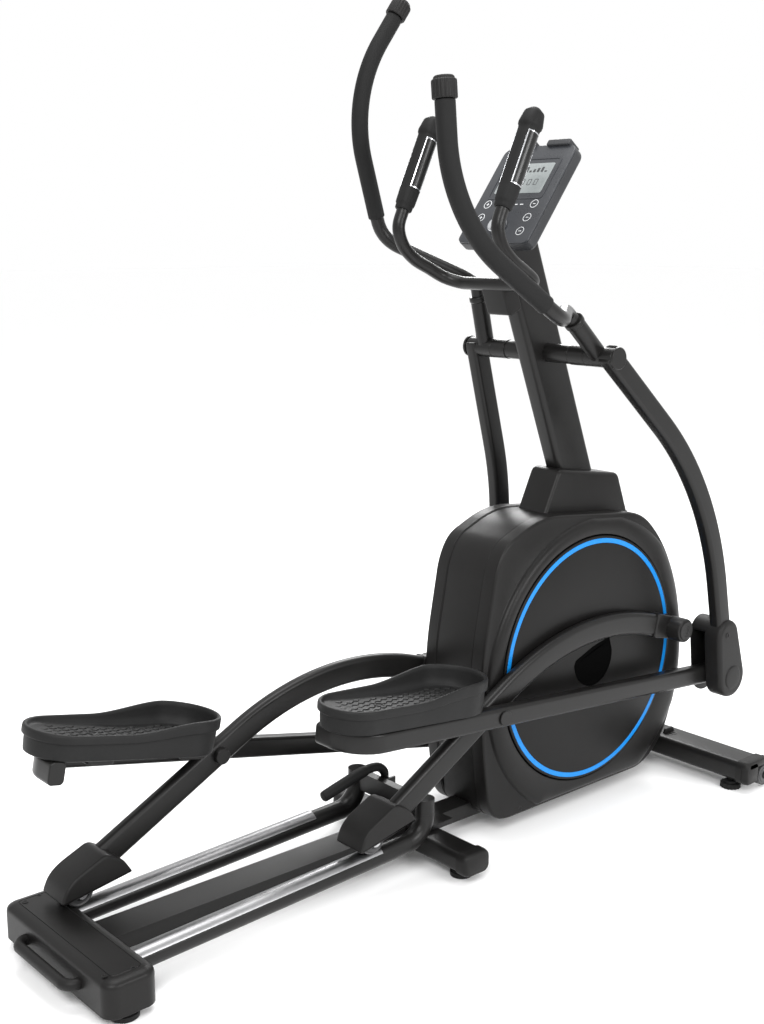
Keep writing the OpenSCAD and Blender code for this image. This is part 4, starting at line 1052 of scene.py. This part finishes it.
class SwingOperator(Operator):
    """Swing arms with their sockets, covers, handles, grips and caps"""

    bl_idname = "trainer.swing_arms"
    bl_label = "Swing arms and handles"

    def execute(self, context):
        shape = context.scene.trainer_shape
        for side in SIDES:
            carry = place("arm", side)
            body = "arm_" + side
            top = np.stack([np.linspace(-14, ARM_S - 2, 14) * math.sin(BEND), np.full(14, ARM_Y),
                            -np.linspace(-14, ARM_S - 2, 14) * math.cos(BEND)], -1)
            bow = arc(ARM_C, ARM_R, 18.5, -18.5, 40, ARM_Y)
            low = np.stack([np.linspace(ARM_S - 2, 0, 14) * math.sin(BEND), np.full(14, ARM_Y),
                            -ARM_L + np.linspace(ARM_S - 2, 0, 14) * math.cos(BEND)], -1)
            arm = swept(np.vstack([top, bow, low]), rounded_box(30, shape.arm_depth, shape.edge, 7), ends=3)
            hub = turned_part([(14.05, 86), (19, 86), (20, 87.2), (20, 126), (19.2, 127), (20, 128),
                               (20, 196.8),
                               (19, 198), (14.05, 198), (14.05, 86)], (0, 0), 48)
            eye = turned_part([(0, 168), (24.5, 168), (26, 169.5), (26, 196.5), (24.5, 198), (0, 198)],
                              (0, -ARM_L), 48)
            d = np.array([-math.sin(SOCKET), 0, math.cos(SOCKET)])
            h = np.array([4, 10, 50, 96, 99, 100, 101, 104, 108, 110, 111])
            r = np.array([17.5, 18, 18, 18, 18, 19, 19.8, 20, 20, 19.6, 18.6])
            socket = swept(np.array([0, 155, 0]) + h[:, None] * d, round_section(1.0, 40), ends=0, scale=r)
            v, f = stack([arm, (hub[0], hub[1][:-2]), eye, socket])
            make_mesh("arm_tube_" + side, carry(v), f, finish("powder"), body, "black_paint",
                      "swing_arm_" + side)

            e = np.array([-207.0, 291.0, 254.0])
            b1 = np.array([0, 155, 0]) + 140 * d
            a0 = math.radians(24.9)
            b2 = e - 46 * np.array([-math.sin(a0), -0.09, math.cos(a0)])
            first = np.array([0, 155, 0]) + np.linspace(106, 124, 4)[:, None] * d
            lead = b1 + (b2 - b1) * np.linspace(0.22, 0.80, 12)[:, None]
            corner1 = bezier([first[-1], b1, lead[0]], 14)[1:-1]
            after = e + np.array([-math.sin(a0), 0.0, math.cos(a0)]) * np.linspace(-6, 6, 3)[:, None]
            corner2 = bezier([lead[-1], b2, after[0]], 14)[1:-1]
            grip_path = self.grip(e)
            path = np.vstack([first, corner1, lead, corner2, after[:1], grip_path[::3]])
            v, f = swept(path, round_section(shape.tube_radius, 32), ends=1)
            make_mesh("handle_tube_" + side, carry(v), f, finish("powder"), body, "black_paint",
                      "handle_bar_" + side)
            foam = swept(grip_path, round_section(shape.foam_radius, 44), ends=3.0)
            v, f = foam
            obj = make_mesh("foam_grip_" + side, carry(v), f, finish("foam"), body, "foam",
                            "handle_foam_" + side)
            tip = grip_path[-1]
            up = grip_path[-1] - grip_path[-4]
            up /= np.linalg.norm(up)
            t = np.linspace(0, 2 * math.pi, 120, endpoint=False)
            ribs = np.stack([np.cos(t), np.sin(t)], -1) * (1 + 0.02 * np.sign(np.cos(20 * t)))[:, None]
            hh = np.array([0.3, 1.5, 3, 26, 29, 30.3, 31, 34, 36.0, 36.3])
            rr = np.array([19.5, 20.4, 20.6, 20.6, 20.2, 19, 17.4, 16.6, 14.5, 12.0])
            v, f = swept(tip + hh[:, None] * up, ribs, ends=0, scale=rr)
            make_mesh("grip_end_" + side, carry(v), f, finish("shell_fine"), body, "charcoal_shell",
                      "handle_cap_" + side)
            self.cover(side, carry, body)
        return {"FINISHED"}

    def grip(self, e):
        """Centre line of the foam, in a plane tilted to the middle: a straight, an arc that turns forward and
        a straight."""
        a0, a1, r, low, high = math.radians(24.9), math.radians(29.7), 250.0, 122.0, 60.0
        p1 = low * np.array([-math.sin(a0), math.cos(a0)])
        c = p1 + r * np.array([math.cos(a0), math.sin(a0)])
        t = np.linspace(math.pi + a0, math.pi - a1, 46)
        bow = c + r * np.stack([np.cos(t), np.sin(t)], -1)
        p2 = bow[-1] + high * np.array([math.sin(a1), math.cos(a1)])
        flat = np.vstack([np.linspace((0, 0), p1, 14)[:-1], bow, np.linspace(bow[-1], p2, 10)[1:]])
        q = math.radians(5.5)
        out = np.stack([flat[:, 0], -flat[:, 1] * math.sin(q), flat[:, 1] * math.cos(q)], -1)
        return e + out

    def cover(self, side, carry, body):
        """Moulded cover of the lower pivot: a rounded outer shell with a raised cap and a screw, and an inner
        plate with a wall along its front and bottom."""
        q = (0.0, -ARM_L)
        up = (100 * math.sin(BEND), -ARM_L + 100 * math.cos(BEND))
        outer = spaced(two_circles(q, 46, up, 37), 200)
        inner = spaced(two_circles(q, 43, up, 34), 200)
        n = len(outer)
        nrm = outward(outer)
        rings = []
        for inset, y in ((0.0, 166.5), (0.0, 196.0), (0.5, 199.5), (2.2, 202.8), (5.0, 204.8), (9.0, 205.9),
                         (12.0, 206.0)):
            p = outer - nrm * inset
            rings.append(np.stack([p[:, 0], np.full(n, y), p[:, 1]], -1))
        shell = np.concatenate(rings)
        faces = ring_faces(len(rings), n)
        faces = faces[:-2] + [faces[-1]]
        base = len(rings) * n
        inside = [np.stack([inner[:, 0], np.full(n, y), inner[:, 1]], -1) for y in (166.5, 202.5)]
        v = np.concatenate([shell] + inside)
        inf = ring_faces(2, n, base)
        faces += [x[::-1] for x in inf[:-2]] + [inf[-1][::-1]]
        j = np.arange(n)
        k = (j + 1) % n
        faces += np.stack([j, base + j, base + k, k], -1).tolist()
        parts = [(v, faces)]
        parts.append(turned_part([(0, 205), (27, 205), (27, 206.2), (26, 207.2), (24, 207.6), (12, 207.9),
                                  (0, 208)],
                                 q, 64))
        parts.append(turned_part([(3.2, 205.8), (6.4, 205.8), (6.4, 206.6), (5.6, 207.0), (3.4, 206.7),
                                  (3.2, 205.8)],
                                 (up[0] - 4, up[1] + 8), 36))
        parts[-1] = (parts[-1][0], parts[-1][1][:-2])
        parts_in = []
        # inner half: a plate towards the machine with a wall only along the front and the bottom
        plate = slab(outer, 127.0, 130.0, 1.0, 0.3)
        parts_in.append(plate)
        open_side = outer[:, 0] > 8
        idx = np.where(open_side)[0]
        breaks = np.where(np.diff(idx) > 1)[0]
        run = np.roll(idx, -(breaks[0] + 1)) if len(breaks) else idx
        a = outer[run]
        b = inner[np.clip(run, 0, n - 1)]
        sec = np.stack([np.stack([a[:, 0], np.full(len(a), 129.5), a[:, 1]], -1),
                        np.stack([a[:, 0], np.full(len(a), 166.2), a[:, 1]], -1),
                        np.stack([b[:, 0], np.full(len(a), 166.2), b[:, 1]], -1),
                        np.stack([b[:, 0], np.full(len(a), 129.5), b[:, 1]], -1)], 1)
        parts_in.append((sec.reshape(-1, 3), ring_faces(len(a), 4)))
        v, f = stack(parts + parts_in)
        make_mesh("pivot_cover_" + side, carry(v), f, finish("shell_fine"), body, "charcoal_shell",
                  "joint_cover_" + side, sharp=0.7)


class FootOperator(Operator):
    """Foot beams and pedal trays"""

    bl_idname = "trainer.foot_beams"
    bl_label = "Foot beams and trays"

    def execute(self, context):
        shape = context.scene.trainer_shape
        for side in SIDES:
            carry = place("beam", side)
            body = "beam_" + side
            hook_x, r = -302.0, 60.0
            t = np.radians(np.linspace(90, 180, 24))
            bend = np.stack([hook_x + r * np.cos(t), BEAM_Y - r + r * np.sin(t), np.zeros(24)], -1)
            path = np.vstack([[(x, BEAM_Y, 0) for x in np.linspace(BEAM_L - 8, hook_x + 4, 40)], bend,
                              [(hook_x - r, y, 0) for y in np.linspace(BEAM_Y - r - 6, BEAM_Y - r - 38,
                                  6)]])
            bar = swept(path, rounded_box(40, 30, 8, 7), side=(0, 0, 1), ends=2.5)
            eye = turned_part([(0, 133), (21, 133), (22, 134), (22, 162), (21, 163), (12, 163), (12, 167),
                               (11.4, 167.4),
                               (0, 167.4)], (BEAM_L, 0), 48)
            parts = [bar, eye]
            for x in (-300.0, -112.0):
                o = spaced(filleted([(x, 62), (x + 50, 62), (x + 50, 134), (x, 134)], 4), 80)
                parts.append(slab(o, 8, 19.9, 1.0, 0.8, "Z"))
            v, f = stack(parts)
            make_mesh("foot_bar_" + side, carry(v), f, finish("powder"), body, "black_paint",
                      "foot_beam_" + side)
            v, f = self.tray(shape.tread_rows)
            make_mesh("foot_tray_" + side, carry(v), f, finish("tray"), body, "pedal_black",
                      "pedal_" + side,
                      sharp=0.75)
        return {"FINISHED"}

    def tray(self, rows):
        """Tray in the foot beam's coordinates, as rings round one plan: along the underside, up the outside
        past a lip, over a rim that falls from toe to heel, and down to a floor that rises at the heel."""
        n = 240
        yc, x_toe, x_heel = 104.0, -28.0, -400.0
        hw, hr = 77.0, 69.0
        xf, xr = x_toe - hw, x_heel + hr
        plan = spaced(two_circles((xr, yc), hr, (xf, yc), hw, 90, 90), n)
        nrm = outward(plan)
        x = plan[:, 0]
        u = np.clip((x - x_heel) / (x_toe - x_heel), 0, 1)
        ease = np.clip((u - 0.42) / 0.42, 0, 1)
        ease = ease * ease * (3 - 2 * ease)
        rim = 20.3 + 26 + 20 + 20 * ease
        floor = 46.3
        rise = 12.5 * np.clip(1 - u / 0.55, 0, 1) ** 1.2
        rings = []

        def ring(inset, z):
            p = plan - nrm * np.broadcast_to(inset, n)[:, None]
            rings.append(np.stack([p[:, 0], p[:, 1], np.broadcast_to(z, n)], -1))

        lip = rim - 15.0 - 6 * ease
        for inset, z in ((26.0, 22.0), (12.0, 22.0), (10.5, 20.8), (8.6, 20.6), (6.6, 22.0), (6.0, 26.0),
                         (5.2, 40.0),
                         (5.0, lip - 1.4), (4.0, lip - 0.6), (1.0, lip - 0.4), (0.2, lip + 0.4),
                         (0.0, lip + 2.0),
                         (0.0, rim - 5.0), (0.7, rim - 1.8), (2.2, rim - 0.4), (4.2, rim), (6.2, rim - 0.4),
                         (7.6, rim - 2.0)):
            ring(inset, z)
        base = floor + rise
        for inset, k in ((8.2, 0.80), (9.4, 0.45), (11.5, 0.20), (14.5, 0.06), (19.0, 0.0), (24.0, 0.0)):
            ring(inset, base + (rim - 2.0 - base) * k)
        middle = rings[-1]
        for k in (0.75, 0.5, 0.25):
            q = middle.copy()
            q[:, 1] = yc + (q[:, 1] - yc) * k
            rings.append(q)
        body = (np.concatenate(rings), ring_faces(len(rings), n))
        # raised lozenge tread, in rows along the floor, inside a border
        lugs = []
        xs = np.linspace(x_heel + 40, x_toe - 44, rows)
        for i, cx in enumerate(xs):
            for j in range(-4, 5):
                cy = yc + (j + (0.5 if i % 2 else 0.0)) * 15.0
                k = np.clip((cx - x_heel) / (x_toe - x_heel), 0, 1)
                if cx < xr:
                    edge_r = math.sqrt(max((hr - 26) ** 2 - (cx - xr) ** 2, 0))
                elif cx > xf:
                    edge_r = math.sqrt(max((hw - 26) ** 2 - (cx - xf) ** 2, 0))
                else:
                    edge_r = hr - 26 + (hw - hr) * k
                if abs(cy - yc) > edge_r - 4 or (abs(cy - yc) < 10 and min(abs(cx + 275),
                    abs(cx + 87)) < 12):
                    continue
                a, b = 9.6, 6.0
                lug = np.array([(cx - a, cy), (cx, cy - b), (cx + a, cy), (cx, cy + b)])
                zf = floor + 12.5 * max(1 - k / 0.55, 0) ** 1.2
                low = np.column_stack([lug, np.full(4, zf - 1.0)])
                top = np.column_stack([(lug - [cx, cy]) * 0.72 + [cx, cy], np.full(4, zf + 2.0)])
                lugs.append((np.vstack([low, top]), ring_faces(2, 4)))
        for cx in (-275.0, -87.0):
            zf = floor + 12.5 * max(1 - (cx - x_heel) / (x_toe - x_heel) / 0.55, 0) ** 1.2
            lugs.append(turned_part([(0, zf - 1.0), (10, zf - 1.0), (10, zf + 1.6), (9, zf + 2.2),
                                     (7, zf + 2.2), (6, zf + 0.4), (0, zf + 0.4)], (cx, yc), 32, "Z"))
        for cx in (-250.0, -62.0):
            o = spaced(filleted([(cx - 50, 60), (cx, 60), (cx, 148), (cx - 50, 148)], 4), 60)
            lugs.append(slab(o, 20.3, 24.0, 0.5, 0.5, "Z"))
        return stack([body] + lugs)


LOW_A = math.atan2(MID_PIVOT[1], MID_PIVOT[0])
HIGH_A = math.radians(30)
LINK_R = 560.0
VERT_X = LINK_L * math.tan(HIGH_A) / (math.tan(LOW_A) + math.tan(HIGH_A))
BOW_0 = (VERT_X / math.cos(LOW_A) - LINK_R * math.tan((LOW_A + HIGH_A) / 2)) * unit(LOW_A)
BOW_C = BOW_0 + LINK_R * np.array([math.sin(LOW_A), -math.cos(LOW_A)])


class RollerOperator(Operator):
    """Roller arms with their pivot studs and yokes, hoods, axles and wheels"""

    bl_idname = "trainer.roller_arms"
    bl_label = "Roller arms and wheels"

    def execute(self, context):
        shape = context.scene.trainer_shape
        f0, f1 = 75.0, 129.0
        for side in SIDES:
            carry = place("link", side)
            body = "link_" + side
            low = np.linspace(52, np.linalg.norm(BOW_0) - 3, 20)[:, None] * unit(LOW_A)
            low = np.stack([low[:, 0], np.full(20, LINK_Y), low[:, 1]], -1)
            bow = arc(BOW_C, LINK_R, 90 + math.degrees(LOW_A), 60, 50, LINK_Y)
            end = np.array([LINK_L, LINK_Y, 0.0])
            high = bow[-1] + (end - bow[-1]) * np.linspace(0.06, 1.0, 12)[:, None]
            arm = swept(np.vstack([low, bow, high]), rounded_box(26, shape.link_depth, 11, 8), ends=2)
            a = LOW_A
            crown = spaced(filleted([(42, -20), (56, -20), (56, 20), (42, 20)], 3), 60)
            ears = spaced(two_circles((0, 0), 14, (44, 0), 13), 80)
            fork = [slab(crown, f0, f1, 1.0), slab(ears, f0, f0 + 4, 0.6), slab(ears, f1 - 4, f1, 0.6)]
            fork = [(turned(v, a, (0, 0)), f) for v, f in fork]
            # yoke: a block that grips the arm's end and carries the bearing housing of the crank pin
            end_a = -HIGH_A
            block = spaced(filleted([(-62, -27), (10, -24), (10, 24), (-62, 27)], 7), 100)
            yoke = slab(block, 100.6, 131.0, 3.0)
            yoke = (turned(yoke[0], end_a, (LINK_L, 0)), yoke[1])
            pin = turned_part([(0, 102), (25, 102), (26.3, 103.5), (26.3, 160), (25, 163), (22, 163.6),
                               (21.4, 164),
                               (21.4, 165.5), (20, 167), (12, 167), (11, 166.2), (6.5, 166.2), (6, 165.2),
                               (0, 165.2)],
                              (LINK_L, 0), 56)
            p = MID_PIVOT
            stud = turned_part([(0, 90.5), (14, 90.5), (15, 91.5), (15, 103), (16, 103), (16, 132.5),
                                (10, 132.5),
                                (10, 163.6), (14, 163.6), (15, 164.4), (15, 166), (14, 167), (0, 167)], p,
                                48)
            v, f = stack([arm] + fork + [yoke, pin, stud])
            make_mesh("link_tube_" + side, carry(v), f, finish("powder"), body, "black_paint",
                      "roller_arm_" + side)
            self.hood(side, carry, body, f0, f1)
            axle_at = place("axle", side)
            v, f = turned_part([(0, f0 - 5), (9, f0 - 5), (10, f0 - 4), (10, f0 - 0.5), (6, f0 - 0.5),
                                (6, f1 + 0.5),
                                (10, f1 + 0.5), (10, f1 + 4), (9, f1 + 5), (0, f1 + 5)], (0, 0), 36)
            make_mesh("wheel_pin_" + side, axle_at(v), f, finish("steel"), "axle_" + side, "steel_plain",
                      "roller_axle_" + side)
            y0, y1 = 80.0, 124.0
            prof = [(6.05, y0), (12, y0), (13, y0 + 1.5), (22, y0 + 1.5), (24, y0), (26, y0 + 0.8),
                    (27, y0 + 3),
                    (27, 96), (25, 97.2), (23, 97.6), (23, 106.4), (25, 106.8), (27, 108), (27, y1 - 3),
                    (26, y1 - 0.8), (24, y1), (22, y1 - 1.5), (13, y1 - 1.5), (12, y1), (6.05, y1),
                    (6.05, y0)]
            v, f = turned_part(prof, (0, 0), 72)
            make_mesh("rail_wheel_" + side, axle_at(v), f[:-2], finish("wheel"), "wheel_" + side,
                      "wheel_grey",
                      "roller_wheel_" + side)
        return {"FINISHED"}

    def hood(self, side, carry, body, f0, f1):
        """Hood: a side outline drawn out across the wheel, with its inside cut away so that it is open below
        and in front."""
        y0, y1 = f0 - 10.0, f1 + 10.0
        line = spaced(filleted([(-38, -1), (-42, 4), (-36, 13), (-27, 24), (-12, 33.5), (5, 38.5),
                                (59, 48), (86, 22),
                                (97, -10)], [5, 9, 12, 14, 14, 20, 10, 14, 5], 8), 200)
        outer = slab(line, y0, y1, 5.0, n=6)
        inner_line = spaced(filleted([(-30, -30), (-38, -8), (-31, 7), (-23, 20), (-10, 28.5), (6, 34),
                                      (54, 42),
                                      (82, 19), (110, 10), (110, -30)], [3, 6, 8, 8, 8, 12, 4, 4, 3, 3],
                                      8), 200)
        name = "wheel_hood_" + side
        v, f = outer
        obj = make_mesh(name, carry(v), f, finish("shell_fine"), body, "charcoal_shell",
                        "roller_cover_" + side)
        cut_v, cut_f = slab(inner_line, y0 + 3, y1 - 3, 4.0, n=6)
        inner = carry(cut_v)
        inner[:, 0] += MID_X
        mesh = bpy.data.meshes.new("cutter")
        mesh.from_pydata((inner * MM).tolist(), [], cut_f)
        face_outward(mesh, inner * MM)
        cutter = bpy.data.objects.new("cutter_" + side, mesh)
        bpy.context.scene.collection.objects.link(cutter)
        mod = obj.modifiers.new("cut", "BOOLEAN")
        mod.operation = "DIFFERENCE"
        mod.solver = "EXACT"
        mod.object = cutter
        bpy.context.view_layer.update()
        graph = bpy.context.evaluated_depsgraph_get()
        done = bpy.data.meshes.new_from_object(obj.evaluated_get(graph))
        obj.modifiers.clear()
        old = obj.data
        obj.data = done
        bpy.data.meshes.remove(old)
        bpy.data.objects.remove(cutter)
        bpy.data.meshes.remove(mesh)
        done.name = name
        done.materials.clear()
        done.materials.append(finish("shell_fine"))
        done.set_sharp_from_angle(angle=0.7)


# ---------------------------------------------------------------- stage

CAMERA = (-1.7110 + MID_X * MM, -1.8690, 1.2065)
AZIMUTH, ELEVATION = -40.95, 11.65
LENS = 47.465


class StageOperator(Operator):
    """Floor, lights and camera"""

    bl_idname = "trainer.stage"
    bl_label = "Stage"

    def execute(self, context):
        look = context.scene.trainer_look
        mesh = bpy.data.meshes.new("floor")
        s = 40.0
        mesh.from_pydata([(-s, -s, 0), (s, -s, 0), (s, s, 0), (-s, s, 0)], [], [(0, 1, 2, 3)])
        floor = bpy.data.objects.new("floor", mesh)
        context.scene.collection.objects.link(floor)
        mat, _, shader, _ = base_finish("studio_floor", specular=0.2)
        shader.inputs["Base Color"].default_value = (*look.floor_colour, 1)
        shader.inputs["Roughness"].default_value = 0.7
        mesh.materials.append(mat)
        world = bpy.data.worlds.new("studio")
        world.use_nodes = True
        world.node_tree.nodes["Background"].inputs["Color"].default_value = (1.0, 1.0, 1.0, 1)
        world.node_tree.nodes["Background"].inputs["Strength"].default_value = 1.0
        context.scene.world = world
        for name, at, aim, size, power in (
            ("key_light", (-2.6, -2.2, 3.2), (0.1, 0, 0.7), 1.8, 95),
            ("side_light", (0.6, -3.4, 1.9), (0.3, 0, 0.6), 1.6, 60),
            ("top_light", (0.2, 0.2, 3.9), (0.1, 0, 0.5), 2.4, 75),
            ("back_light", (2.6, 2.4, 2.4), (0.1, 0, 0.7), 1.6, 60),
        ):
            lamp = bpy.data.lights.new(name, "AREA")
            lamp.shape = "RECTANGLE"
            lamp.size, lamp.size_y = size, size * 0.8
            lamp.energy = power
            obj = bpy.data.objects.new(name, lamp)
            context.scene.collection.objects.link(obj)
            obj.location = at
            obj.rotation_euler = (Vector(aim) - Vector(at)).to_track_quat("-Z", "Y").to_euler()
        cam = bpy.data.cameras.new("camera")
        cam.lens = LENS
        cam.sensor_width = 36.0
        cam.sensor_fit = "AUTO"
        cam.clip_end = 100
        obj = bpy.data.objects.new("camera", cam)
        context.scene.collection.objects.link(obj)
        az, el = math.radians(AZIMUTH), math.radians(ELEVATION)
        back = Vector((math.sin(az) * math.cos(el), -math.cos(az) * math.cos(el), math.sin(el)))
        obj.location = CAMERA
        obj.rotation_euler = (-back).to_track_quat("-Z", "Y").to_euler()
        context.scene.camera = obj
        context.scene.view_settings.view_transform = "Standard"
        return {"FINISHED"}


OPERATORS = (FinishOperator, BaseOperator, RailOperator, HousingOperator, MastOperator, ConsoleOperator,
             SwingOperator, FootOperator, RollerOperator, StageOperator)


class TrainerPanel(Panel):
    """Sidebar panel that lists the sizes, the colours and the building steps"""

    bl_idname = "VIEW3D_PT_trainer"
    bl_label = "Elliptical trainer"
    bl_space_type = "VIEW_3D"
    bl_region_type = "UI"
    bl_category = "Trainer"

    def draw(self, context):
        layout = self.layout
        for group in (context.scene.trainer_shape, context.scene.trainer_look):
            for key in group.bl_rna.properties.keys():
                if key not in ("rna_type", "name"):
                    layout.prop(group, key)
        for op in OPERATORS:
            layout.operator(op.bl_idname)


CLASSES = (TrainerShape, TrainerLook) + OPERATORS + (TrainerPanel,)


def register():
    for cls in CLASSES:
        bpy.utils.register_class(cls)
    bpy.types.Scene.trainer_shape = PointerProperty(type=TrainerShape)
    bpy.types.Scene.trainer_look = PointerProperty(type=TrainerLook)


def unregister():
    del bpy.types.Scene.trainer_look
    del bpy.types.Scene.trainer_shape
    for cls in reversed(CLASSES):
        bpy.utils.unregister_class(cls)


def main():
    register()
    for op in OPERATORS:
        area, name = op.bl_idname.split(".")
        getattr(getattr(bpy.ops, area), name)()


if __name__ == "__main__":
    main()
